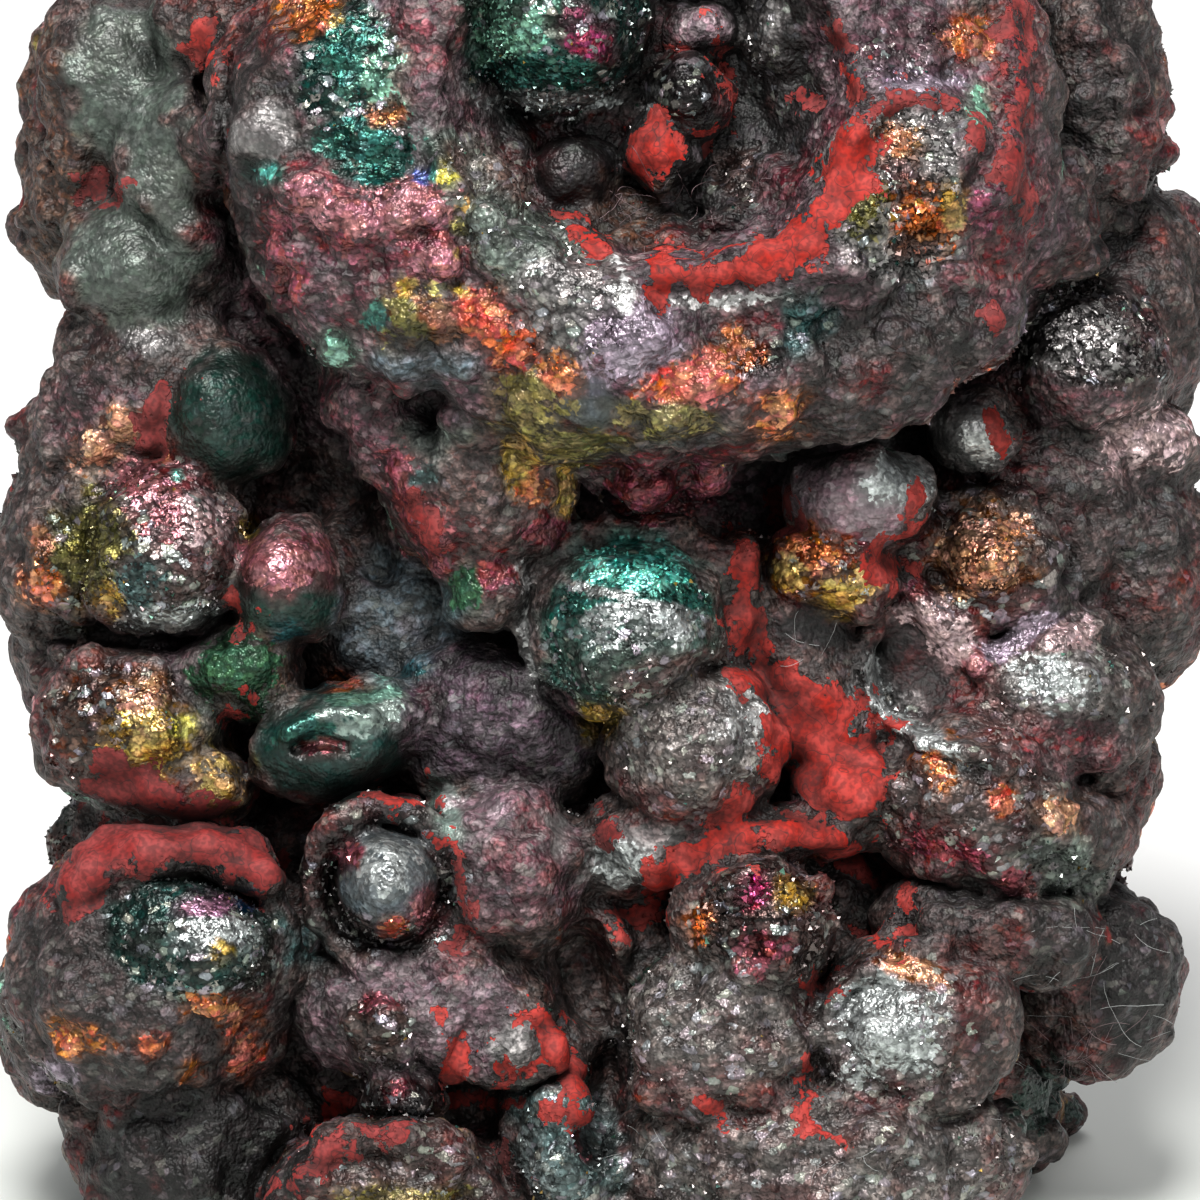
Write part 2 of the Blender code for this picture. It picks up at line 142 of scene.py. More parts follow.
MIDDLE_KNOBS = [
    ("pendant lobe", (-6.9, 6.9, 7.2), (4.6, 6.4, 5.4), 20),
    ("pendant shoulder", (-10.4, 9.6, 7.6), (3.6, 3.4, 4.8), -20),
    ("pendant right side", (-3.6, 5.6, 7.4), (2.4, 4.4, 4.0), -8),
    ("pendant tip", (-5.9, 0.7, 7.8), (2.1, 2.2, 2.8)),
    ("central knob", (1.6, -1.5, 8.2), (4.7, 4.4, 5.8)),
    ("crimson knob", (2.3, 5.9, 9.4), (2.0, 1.8, 2.8)),
    ("small crimson knob", (5.1, 6.4, 8.6), (1.5, 1.3, 2.4)),
    ("knob under the centre", (4.8, -7.0, 7.0), (4.4, 4.6, 5.4), 10),
    ("purple mass", (-4.8, -6.0, 3.2), (6.2, 4.6, 5.0), -12),
    ("red slope", (10.2, -3.6, 4.0), (3.4, 7.6, 4.6), 25),
    ("red foot", (12.4, -9.6, 5.0), (3.0, 2.6, 4.0)),
    ("mauve lump", (-4.8, -13.6, 5.8), (4.4, 4.8, 4.6)),
    ("red arch", (8.2, -12.0, 6.4), (5.4, 1.8, 3.6), 8),
    ("speckled left of the arch", (1.8, -12.0, 5.6), (3.6, 2.4, 4.0), 12),
    ("shadow lump", (-1.0, -17.2, 4.4), (3.0, 2.6, 3.6)),
]
RIGHT_KNOBS = [
    ("lavender lump", (12.9, 5.2, 7.2), (3.9, 2.8, 4.4)),
    ("orange drusy lump", (11.4, 1.6, 6.2), (3.4, 2.5, 4.0), -10),
    ("pale knob", (18.8, 8.6, 5.4), (2.1, 1.9, 2.8)),
    ("large right knob", (24.1, 11.8, 1.6), (4.3, 4.5, 5.0)),
    ("pink-white lump", (26.8, 7.4, -0.8), (3.5, 2.6, 4.6), 10),
    ("orange knob", (19.2, 2.0, 4.8), (2.8, 2.7, 3.6)),
    ("bed of the right hollow", (16.2, -3.6, 3.0), (3.6, 3.6, 3.6)),
    ("lower right eye knob", (22.8, -5.0, 3.0), (4.8, 4.4, 5.2)),
    ("right saddle", (22.0, 5.4, -1.0), (6.5, 5.0, 6.0)),
    ("far right shoulder", (26.6, 1.6, -2.6), (4.0, 6.0, 6.5)),
    ("upper right ridge", (24.2, 25.0, -1.5), (3.7, 9.0, 6.5)),
    ("right edge bulge", (27.0, 14.6, -3.6), (3.6, 6.2, 6.0)),
    ("far right waist", (24.8, -8.6, -1.5), (3.0, 5.0, 6.0)),
    ("speckled lobe", (19.0, -10.2, 4.8), (5.6, 4.6, 5.6), -12),
    ("speckled lobe edge", (23.0, -12.0, 2.4), (3.6, 3.6, 5.0)),
    ("dark ridge", (19.6, -16.2, 4.4), (5.6, 2.8, 5.0), -8),
    ("far right lobe", (24.6, -18.8, -1.6), (4.2, 5.2, 6.0)),
]
LOWER_KNOBS = [
    ("speckled knob", (7.8, -16.3, 8.2), (3.9, 3.8, 4.4)),
    ("silver-centred knob", (15.8, -21.2, 6.8), (5.0, 4.4, 4.8)),
    ("silver centre", (14.4, -21.4, 9.6), (2.3, 2.2, 2.6)),
    ("large grey knob", (6.0, -21.8, 7.0), (5.2, 4.6, 5.4)),
    ("lower right apron", (11.0, -28.2, 5.4), (10.0, 5.4, 6.6)),
    ("great left knob", (-22.4, -18.8, 3.6), (7.2, 6.9, 7.6)),
    ("knob on the great knob", (-20.5, -17.4, 8.0), (4.5, 3.6, 4.0), 6),
    ("far left lobe", (-27.2, -20.4, -2.0), (3.0, 4.8, 5.5)),
    ("lower left foot", (-20.5, -27.4, 0.0), (6.0, 5.6, 7.6)),
    ("silver eye knob", (-10.5, -14.2, 8.4), (2.9, 3.0, 3.6)),
    ("bed of the silver eye", (-10.6, -14.4, 6.3), (3.9, 4.1, 3.1)),
    ("brow of the great knob", (-21.2, -12.8, 6.8), (4.8, 1.9, 2.3)),
    ("mauve apron", (-8.8, -19.8, 4.6), (6.6, 4.4, 5.4)),
    ("small round knob", (-11.0, -21.4, 8.4), (1.9, 1.8, 2.4)),
    ("ringed knob", (-4.3, -22.0, 8.0), (1.5, 1.5, 2.4)),
    ("dark low knob", (-9.9, -25.1, 7.6), (2.1, 1.5, 2.6)),
    ("grey-teal lump", (-1.6, -27.4, 5.4), (3.6, 4.6, 5.0)),
    ("bottom knob", (-10.6, -30.4, 6.6), (6.2, 4.6, 5.4)),
    ("bottom knob centre", (-10.0, -31.4, 9.8), (2.8, 2.3, 3.0)),
]

# Each collar round a knob: its name, its centre, its radii across and up, the radius of its tube,
# and how much further forward its top stands than its middle
COLLARS = [
    ("central collar", (1.9, -0.6, 8.0), (4.9, 4.3), 1.0, 0.6),
    ("crimson collar", (2.4, 5.9, 9.0), (2.5, 2.2), 0.6, 0.3),
    ("silver eye collar", (-10.7, -14.5, 8.6), (3.5, 3.8), 0.9, 0.4),
    ("orange knob collar", (18.9, 2.0, 6.0), (3.2, 2.7), 0.8, -0.3),
    ("hollow's collar", (16.2, -3.8, 6.2), (3.1, 3.2), 0.45, -0.4),
    ("ringed knob collar", (-4.3, -22.0, 9.0), (2.0, 2.0), 0.6, 0.2),
    ("silver centre collar", (14.4, -21.4, 10.2), (2.9, 2.8), 0.6, 0.3),
    ("great knob ridge", (-20.9, -17.4, 7.8), (5.2, 4.6), 1.0, 1.4),
    ("bottom knob collar", (-10.4, -31.4, 10.2), (4.8, 4.3), 1.2, 0.2),
    ("teal knob slit edge", (-13.4, -7.0, 9.2), (1.9, 1.1), 0.6, 0.0),
]

# Each hollow cut into the mass, given as a lump is
HOLLOWS = [
    ("crater", (2.3, 25.8, 19.5), (10.0, 9.0, 10.5)),
    ("left cavity", (-12.6, 5.2, 6.0), (2.0, 4.6, 4.6), 24),
    ("right cavity", (12.4, 8.6, 7.6), (4.2, 1.5, 4.6), 8),
    ("pendant pit", (-8.8, 9.8, 12.6), (1.9, 1.1, 2.0), 10),
    ("pit right of the red slope", (16.3, -3.5, 8.0), (2.6, 2.2, 2.6)),
    ("lower cavity", (-0.6, -19.4, 8.0), (1.9, 3.4, 5.4), 14),
    ("lower cavity foot", (0.4, -24.4, 7.4), (1.4, 3.6, 5.0), -8),
    ("left crevice", (-20.6, -2.2, 8.6), (2.6, 0.7, 2.4), -6),
    ("notch by the lobe", (-19.2, 25.4, 7.4), (1.1, 1.4, 2.6)),
    ("crater slit", (4.6, 19.6, 13.0), (1.4, 1.5, 2.2), -20),
]

# Smaller knobs that sit on whatever is in front there: name, place, radii and how far they stand out
FINE_KNOBS = [
    ("pink band left", (-14.8, 20.3), (1.5, 1.3), 0.8),
    ("pink band middle", (-12.5, 19.2), (1.6, 1.4), 0.8),
    ("pink band right", (-9.3, 19.5), (1.9, 1.3), 0.9),
    ("pink band foot", (-8.2, 17.1), (1.2, 1.0), 0.9),
    ("rose strip", (-16.0, 17.2), (0.7, 2.6), 0.5),
    ("grey rim knob", (-16.8, 23.4), (1.7, 1.6), 0.7),
    ("teal lump", (-12.7, 27.2), (2.3, 2.6), 0.6),
    ("low teal lump", (-11.5, 23.2), (2.2, 1.9), 0.6),
    ("crest lump", (-5.6, 19.8), (1.5, 2.4), 0.5),
    ("crest lump below", (-3.4, 17.0), (1.8, 1.6), 0.5),
    ("olive patch lump", (-9.2, 13.8), (1.8, 1.2), 0.4),
    ("orange patch lump", (-5.4, 13.8), (1.5, 1.3), 0.4),
    ("slate band lump", (-8.9, 11.9), (1.9, 0.9), 0.5),
    ("low left end", (-13.0, 12.6), (1.2, 0.9), 0.5),
    ("slate lump", (-0.6, 9.6), (1.3, 1.1), 0.7),
    ("small slate lump", (-3.4, 11.0), (0.8, 0.7), 0.5),
    ("olive lump of the lip", (3.2, 9.4), (1.6, 1.0), 0.6),
    ("orange lump of the lip", (8.8, 9.6), (1.2, 1.2), 0.5),
    ("red-orange lump", (5.0, 11.0), (1.6, 1.0), 0.4),
    ("lavender lump of the crest", (1.7, 13.2), (1.9, 1.5), 0.5),
    ("teal-slate lump", (10.4, 14.0), (1.8, 1.4), 0.5),
    ("rim lump", (13.8, 14.6), (2.0, 1.2), 0.5),
    ("rim lump right", (17.0, 13.6), (1.8, 1.3), 0.5),
    ("pink-brown lump", (8.9, 20.9), (1.0, 0.8), 0.6),
    ("lump above the cheek", (13.7, 25.6), (0.9, 1.0), 0.6),
    ("right rim top", (17.6, 27.6), (1.8, 1.6), 0.5),
    ("knob of the lower crevice", (-21.0, -3.4), (1.6, 1.1), 0.5),
    ("top of the gold lump", (-22.9, -5.2), (1.6, 1.3), 0.4),
    ("gold knob", (-19.1, -9.1), (1.3, 1.3), 0.6),
    ("pale side of the mauve lump", (-7.6, -10.9), (1.0, 1.4), 0.4),
    ("mauve lump's head", (-4.6, -11.4), (1.6, 1.8), 0.5),
    ("grey lump by the arch", (2.6, -11.6), (1.8, 0.9), 0.5),
    ("knob of the crimson collar", (7.2, 2.0), (0.8, 1.4), 0.4),
    ("pale saddle knob", (21.6, 6.0), (1.6, 1.2), 0.5),
    ("eye knob's shoulder", (24.2, -1.4), (1.7, 1.0), 0.4),
    ("lump below the eye knob", (24.6, -7.6), (2.2, 0.9), 0.4),
    ("specks' lump", (16.9, -8.2), (1.2, 1.1), 0.4),
    ("right end of the specks", (23.6, -11.4), (1.5, 1.5), 0.5),
    ("lump over the dark knob", (-7.6, -23.0), (1.2, 1.3), 0.4),
    ("teal lump's head", (-2.0, -25.4), (1.7, 1.3), 0.5),
    ("left foot's lump", (-25.2, -25.6), (1.6, 1.2), 0.5),
]

# Places strewn with still smaller knobs: name, place, radii, how many and their smallest and largest radius
STREWN = [
    ("crest", (-3.5, 16.5), (5.0, 4.5), 46, (0.45, 0.9)),
    ("lobe's left flank", (-15.5, 21.0), (2.6, 7.5), 34, (0.5, 1.0)),
    ("right rim", (14.0, 14.0), (7.5, 3.4), 50, (0.45, 1.0)),
    ("cheek", (16.2, 22.0), (4.2, 6.0), 50, (0.4, 0.8)),
    ("crater floor", (5.4, 20.6), (4.4, 2.4), 24, (0.4, 0.9)),
    ("upper right ridge", (25.4, 23.0), (2.6, 7.0), 36, (0.5, 1.1)),
    ("left rim", (-27.0, 21.0), (2.0, 7.0), 20, (0.5, 1.0)),
    ("left shoulder", (-25.4, 8.4), (3.4, 3.6), 28, (0.45, 1.0)),
    ("olive side", (-26.2, 1.6), (2.2, 4.0), 24, (0.4, 0.9)),
    ("left waist", (-25.0, -5.0), (3.4, 4.4), 24, (0.5, 1.0)),
    ("purple mass", (-5.2, -6.2), (5.0, 3.2), 44, (0.3, 0.6)),
    ("mauve lump", (-4.4, -13.4), (3.4, 3.4), 34, (0.4, 0.8)),
    ("mauve apron", (-9.0, -21.2), (5.6, 3.6), 60, (0.4, 0.9)),
    ("saddle", (23.4, 3.4), (5.4, 4.6), 50, (0.4, 0.9)),
    ("speckled lobe", (19.6, -11.0), (5.4, 3.8), 50, (0.35, 0.8)),
    ("dark ridge", (20.0, -16.4), (6.0, 2.6), 44, (0.4, 0.9)),
    ("great knob's foot", (-23.6, -22.6), (6.0, 3.4), 40, (0.4, 0.9)),
    ("left foot", (-19.0, -27.6), (8.0, 3.0), 36, (0.5, 1.2)),
    ("grey knob", (6.0, -21.8), (4.8, 4.0), 44, (0.35, 0.8)),
    ("apron", (11.0, -27.6), (10.5, 4.6), 110, (0.4, 1.1)),
    ("bottom knob", (-10.4, -30.4), (6.0, 3.4), 30, (0.4, 0.8)),
    ("arch's shade", (9.6, -15.0), (4.4, 1.4), 16, (0.4, 0.7)),
]

# Ridges and cracks of the front: name, half width, height (below zero for a crack) and its points
RELIEF = [
    ("crater's red ridge", 1.0, 0.3, [(2.4, 16.6), (6.0, 16.6), (9.4, 17.4), (11.4, 20.0), (12.8, 23.6)]),
    ("cheek's red arc", 0.5, 0.4, [(12.6, 23.2), (14.8, 25.1), (17.6, 24.8), (19.3, 22.6)]),
    ("right red seam", 0.7, 0.4, [(20.4, 29.5), (20.9, 26.0), (20.4, 22.0), (21.4, 19.0)]),
    ("pink-white left arm", 0.8, 0.5, [(15.2, 0.2), (17.2, -1.6), (18.9, -3.2)]),
    ("pink-white right arm", 0.7, 0.5, [(18.9, -3.2), (20.6, -2.1), (22.8, -0.3)]),
    ("far pink-white arm", 0.6, 0.5, [(22.2, -2.2), (23.6, -1.6), (25.0, -1.2)]),
    ("hollow's outer edge", 0.45, 0.6,
     [(13.4, -0.6), (13.2, -3.2), (14.2, -5.6), (16.4, -7.1), (19.4, -7.8)]),
    ("great knob's red ridge", 1.2, 0.4,
     [(-26.0, -14.6), (-24.2, -12.4), (-21.5, -11.9), (-18.6, -12.3), (-16.9, -14.0)]),
    ("bottom red arc", 0.9, 0.5, [(-16.4, -30.0), (-14.6, -28.0), (-12.6, -27.0), (-9.8, -26.9)]),
    ("red slope", 1.6, 0.12, [(7.4, -1.6), (8.6, -4.0), (10.6, -6.6), (11.6, -9.2)]),
    ("left arm of the arch", 0.9, 0.2, [(3.0, -14.4), (5.0, -12.6), (7.2, -11.8)]),
    ("right arm of the arch", 0.9, 0.2, [(8.4, -11.4), (10.4, -11.7), (12.8, -12.8)]),
    ("teal knob's brow", 0.6, 0.4, [(-15.6, -6.6), (-13.6, -5.6), (-11.4, -5.8)]),
    ("pendant's red edge", 0.8, 0.3, [(-9.6, 6.6), (-8.8, 4.2), (-7.9, 2.0)]),
    ("red ring's tail", 0.8, 0.2, [(-2.7, -20.6), (-1.9, -22.2), (-1.2, -24.2), (-1.2, -25.6)]),
    ("crack over the red ridge", 0.5, -0.35,
     [(3.9, 17.5), (7.8, 18.9), (10.4, 20.8), (12.0, 23.1), (12.4, 25.6)]),
    ("lip's crease", 0.45, -0.35, [(-11.6, 11.0), (-8.6, 10.6), (-6.2, 9.0), (-3.6, 7.8)]),
    ("lobe's left step", 0.4, -0.7, [(-18.4, 27.0), (-18.8, 21.0), (-17.6, 16.0), (-15.0, 12.4)]),
    ("left crevice", 0.8, -0.6, [(-28.0, -1.2), (-24.4, -2.0), (-20.8, -1.9), (-18.4, -0.8)]),
    ("crevice under the gold lump", 0.7, -0.7,
     [(-27.0, -9.6), (-23.8, -11.0), (-19.6, -11.2), (-16.8, -10.2)]),
    ("crevice under the red ridge", 0.45, -0.25,
     [(-25.4, -15.2), (-23.4, -14.0), (-20.4, -13.9), (-17.4, -15.0)]),
    ("teal knob's slit", 0.4, -0.7, [(-15.3, -7.5), (-14.0, -7.0), (-12.7, -7.3)]),
    ("silver eye's moat, left", 0.5, -0.15,
     [(-11.0, -11.2), (-13.0, -12.6), (-13.5, -14.6), (-12.2, -16.6)]),
    ("silver eye's moat, right", 0.5, -0.15, [(-11.0, -11.2), (-9.0, -12.4), (-8.0, -14.4), (-9.2, -16.8)]),
    ("first crease of the right waist", 0.45, -0.4,
     [(16.2, -7.6), (19.6, -8.9), (22.4, -9.1), (24.4, -8.9)]),
    ("second crease of the right waist", 0.4, -0.3, [(19.4, -9.9), (23.0, -10.0), (26.4, -9.4)]),
    ("crease over the dark ridge", 0.5, -0.5, [(15.2, -13.6), (18.8, -14.8), (22.6, -14.9), (26.0, -13.4)]),
    ("crack of the arch", 0.4, -0.3, [(9.9, -13.2), (10.9, -12.6), (11.9, -12.4)]),
    ("crevice of the bottom arc", 0.45, -0.5,
     [(-16.8, -28.4), (-14.8, -26.6), (-11.6, -25.9), (-6.0, -26.2)]),
    ("central knob's dotted edge", 0.45, -0.4, [(-3.4, 0.6), (-3.6, -1.8), (-2.6, -4.6), (-0.8, -6.2)]),
    ("seam under the central knob", 0.45, -0.4, [(0.6, -6.4), (1.6, -4.4), (3.4, -3.2), (5.6, -3.4)]),
]

# Colours as they look in even light, as red, green and blue out of 255
COLOURS = {
    "black": (34, 30, 31),
    "charcoal": (62, 53, 53),
    "grey brown": (86, 72, 70),
    "brown": (84, 62, 54),
    "grey mauve": (98, 78, 84),
    "mauve": (116, 98, 104),
    "mauve brown": (96, 72, 76),
    "pale mauve": (150, 130, 138),
    "purple": (80, 67, 76),
    "pale grey": (138, 134, 134),
    "mid grey": (108, 101, 99),
    "slate": (88, 98, 104),
    "slate teal": (72, 98, 98),
    "green grey": (104, 112, 106),
    "sea green": (62, 96, 88),
    "olive grey": (74, 72, 50),
    "dark green": (34, 56, 50),
    "dark teal": (36, 60, 56),
    "pale teal": (118, 136, 136),
    "pale mint": (160, 180, 172),
    "maroon": (108, 42, 44),
    "teal": (44, 104, 94),
    "teal blue": (46, 96, 104),
    "cyan": (104, 214, 198),
    "green": (34, 84, 54),
    "mint": (122, 178, 154),
    "blue": (74, 92, 176),
    "pink": (176, 104, 112),
    "pale pink": (214, 180, 182),
    "orchid": (168, 116, 146),
    "lavender": (160, 142, 160),
    "rose": (142, 58, 70),
    "crimson": (138, 38, 54),
    "magenta": (160, 52, 92),
    "peach": (212, 150, 112),
    "orange": (208, 112, 48),
    "orange red": (196, 84, 40),
    "brown orange": (150, 92, 56),
    "gold": (206, 164, 70),
    "yellow": (230, 218, 96),
    "olive": (112, 106, 54),
    "yellow olive": (128, 114, 58),
    "silver": (188, 194, 194),
    "white": (222, 222, 222),
    "red": (150, 35, 27),
    "deep red": (118, 36, 35),
}

# How glossy a finish is, how much of it is flakes and crystals, and how rugged it is
FINISHES = {
    "satin": (1.0, 0.05, 0.14),
    "granular": (0.2, 0.12, 1.0),
    "matte": (0.0, 0.02, 0.4),
    "drusy": (0.5, 0.75, 0.4),
    "coarse": (0.35, 1.0, 0.8),
    "scaly": (0.45, 0.5, 0.8),
}

# The ground of the front, later rows over earlier ones, a few of them painted shade: name, colour, finish,
# place and radii
GROUNDS = [
    ("upper right ridge", "charcoal", "granular", (25.6, 22.0), (2.8, 8.5)),
    ("saddle", "charcoal", "granular", (23.0, 4.0), (6.5, 6.0)),
    ("far left rim", "brown", "granular", (-27.4, 22.0), (1.6, 6.5)),
    ("lobe", "grey mauve", "granular", (1.5, 19.5), (21.5, 16.5)),
    # Painted shade under the lobe's overhang
    ("lobe's underside", "charcoal", "granular", (4.0, 8.2), (13.0, 1.6)),
    ("lobe's left flank", "charcoal", "granular", (-17.0, 22.5), (2.2, 6.8)),
    ("grey rim knob", "pale grey", "satin", (-16.9, 23.6), (1.5, 1.5)),
    ("teal ground", "dark teal", "drusy", (-12.8, 27.0), (2.9, 3.6)),
    ("low teal ground", "dark teal", "drusy", (-11.5, 23.1), (2.8, 2.5)),
    ("mauve strip", "mauve", "granular", (-8.4, 26.2), (1.3, 4.4), -6),
    ("left crest", "green grey", "scaly", (-3.9, 18.4), (2.7, 6.4), 40),
    ("crest's foot", "pale grey", "drusy", (-1.6, 14.6), (2.8, 2.8)),
    ("slate band", "slate", "granular", (-8.9, 11.8), (3.0, 1.0)),
    ("slate lumps", "slate", "satin", (-0.6, 9.5), (1.4, 1.3)),
    ("small slate lump", "slate", "granular", (-3.4, 11.1), (0.8, 0.7)),
    ("teal-slate rim", "slate teal", "drusy", (10.4, 13.8), (2.0, 2.0)),
    ("grey above the orange", "grey brown", "granular", (6.8, 9.3), (1.0, 0.9)),
    ("black pit of the lip", "black", "coarse", (8.1, 11.8), (1.3, 1.0)),
    ("lower right rim", "charcoal", "granular", (14.5, 12.3), (5.8, 2.8), 28),
    ("drusy cheek", "pale grey", "coarse", (15.2, 20.5), (4.3, 4.6), -10),
    ("right cheek", "mauve brown", "granular", (19.9, 22.0), (1.9, 8.0), -4),
    ("above the cheek", "grey mauve", "drusy", (15.5, 27.2), (3.6, 1.8)),
    ("crater", "black", "granular", (2.8, 26.0), (8.4, 8.6)),
    ("large crater knob", "dark teal", "drusy", (-2.4, 28.4), (4.6, 4.6)),
    ("low crater knob", "black", "satin", (-0.9, 21.4), (2.0, 1.8)),
    ("small crater knob", "black", "drusy", (4.0, 25.6), (2.1, 2.1)),
    ("grey crater lump", "pale mauve", "granular", (5.0, 28.5), (2.0, 0.9)),
    ("streaked wall", "pale grey", "drusy", (7.8, 28.4), (1.2, 1.8), -20),
    ("brown fuzz", "brown", "granular", (1.7, 19.3), (1.9, 2.1)),
    ("grey fuzz", "grey brown", "drusy", (6.9, 20.9), (1.2, 1.6), 30),
    ("pink-brown lump", "mauve brown", "granular", (8.9, 20.9), (1.1, 0.9), 30),
    ("first left knob", "green grey", "satin", (-23.9, 26.2), (2.9, 3.8), 5),
    ("second left knob", "green grey", "satin", (-21.9, 21.4), (1.6, 3.6), 12),
    ("third left knob", "green grey", "satin", (-23.3, 16.8), (3.3, 3.3)),
    ("left shoulder", "mauve brown", "granular", (-25.0, 9.2), (2.8, 2.2)),
    ("dark left knob", "dark green", "satin", (-18.7, 9.0), (3.0, 3.5)),
    ("olive side", "olive grey", "drusy", (-25.8, 2.2), (2.0, 3.2), -15),
    ("pink knob", "grey brown", "drusy", (-21.8, 2.8), (3.9, 4.1)),
    ("small pink knob", "dark green", "satin", (-15.8, 0.8), (2.7, 3.0)),
    ("below the crevice", "mauve", "granular", (-20.4, -2.8), (2.0, 1.8)),
    ("gold lump", "brown", "drusy", (-24.2, -6.0), (3.4, 3.4)),
    ("green-grey corner", "green grey", "granular", (-19.3, -6.6), (1.3, 0.9), -30),
    ("gold lump's foot", "maroon", "matte", (-21.9, -9.9), (3.6, 1.6), -8),
    ("teal long knob", "dark teal", "satin", (-13.4, -7.2), (3.8, 3.0), 10),
    ("blue-grey hollow", "slate", "granular", (-9.8, -1.4), (3.2, 3.8)),
    ("pendant lobe", "grey brown", "granular", (-5.6, 5.6), (3.0, 3.6)),
    ("pendant band", "green grey", "granular", (-8.8, 8.1), (1.9, 0.9)),
    ("purple mass", "purple", "granular", (-5.2, -6.0), (5.2, 3.6), -12),
    ("central collar", "grey brown", "granular", (2.0, -0.4), (5.6, 5.4)),
    ("central knob", "sea green", "drusy", (1.4, -1.5), (4.4, 4.1)),
    ("knob under the centre", "mid grey", "scaly", (4.6, -6.6), (4.0, 4.2)),
    ("mauve lump", "mauve", "granular", (-4.4, -12.6), (3.5, 3.8)),
    ("pale side", "pale mint", "satin", (-7.6, -10.9), (1.0, 1.6)),
    ("pale top", "pale mauve", "satin", (-6.2, -10.2), (1.2, 0.8)),
    ("pale right side", "pale grey", "satin", (-2.3, -11.8), (0.6, 1.5)),
    ("grey lump by the arch", "pale grey", "matte", (2.6, -11.6), (1.9, 0.9), 10),
    ("lavender lump", "pale mauve", "satin", (12.6, 4.8), (3.3, 2.4)),
    # Painted highlight: the lit side of the lavender lump
    ("lavender lump's light side", "pale grey", "satin", (14.6, 5.9), (1.6, 1.3)),
    ("orange drusy lump", "maroon", "drusy", (11.2, 1.5), (3.0, 2.2)),
    ("shade below it", "black", "matte", (10.6, -1.4), (2.2, 1.2)),
    ("pale knob", "pale grey", "satin", (18.6, 8.4), (1.5, 1.5)),
    ("large right knob", "charcoal", "coarse", (24.2, 12.6), (3.6, 3.6)),
    ("large right knob's foot", "mauve brown", "granular", (23.8, 9.9), (3.2, 1.6)),
    ("orange knob's collar", "charcoal", "scaly", (18.9, 2.4), (4.1, 3.6)),
    ("orange knob", "brown", "drusy", (19.1, 2.1), (2.3, 2.3)),
    # Painted shade in the right hollow
    ("right hollow", "black", "matte", (15.9, -3.3), (2.6, 2.3)),
    ("hollow's outer edge", "pale grey", "scaly", (14.6, -6.2), (3.2, 1.2), -38),
    ("eye knob", "mid grey", "scaly", (22.8, -5.0), (4.2, 3.6)),
    ("eye knob's foot", "mauve brown", "granular", (23.4, -7.4), (3.0, 1.6)),
    ("speckled lobe", "grey brown", "scaly", (18.5, -10.2), (4.4, 3.4), -12),
    ("green-grey blotches", "green grey", "scaly", (22.6, -14.0), (2.8, 1.6)),
    ("dark ridge", "charcoal", "granular", (19.5, -16.2), (5.2, 1.9), -8),
    ("far right lobe", "black", "granular", (26.2, -18.6), (2.6, 4.6)),
    ("speckled knob", "grey brown", "coarse", (7.9, -16.2), (3.5, 3.3)),
    ("large grey knob", "mid grey", "scaly", (6.0, -21.5), (5.0, 4.0)),
    ("silver-centred knob", "grey brown", "scaly", (14.6, -21.6), (4.6, 4.0)),
    ("apron", "mid grey", "scaly", (11.0, -28.6), (10.5, 3.4)),
    ("great left knob", "charcoal", "granular", (-22.6, -18.8), (7.0, 6.9)),
    ("knob on the great knob", "dark teal", "drusy", (-20.6, -16.9), (4.4, 3.1)),
    ("silver eye's ring", "charcoal", "drusy", (-10.6, -14.2), (4.0, 4.1)),
    ("silver eye", "slate", "satin", (-10.5, -13.9), (2.4, 2.4)),
    ("mauve apron", "mauve", "granular", (-9.6, -21.0), (5.4, 3.4)),
    ("apron's teal corner", "slate teal", "granular", (-14.7, -17.6), (1.2, 1.2)),
    ("small round knob", "grey brown", "drusy", (-10.9, -21.2), (1.9, 1.6)),
    ("ringed knob", "pale grey", "granular", (-4.1, -22.0), (1.2, 1.2)),
    ("dark low knob", "black", "drusy", (-9.9, -24.9), (2.0, 1.3)),
    ("grey-teal lump", "pale teal", "drusy", (-1.8, -27.2), (3.0, 3.2)),
    ("bottom knob", "grey brown", "scaly", (-10.2, -30.6), (6.0, 4.0)),
    # Painted shadow at the lower left foot
    ("lower left foot", "black", "granular", (-20.5, -28.0), (6.5, 4.0)),
]
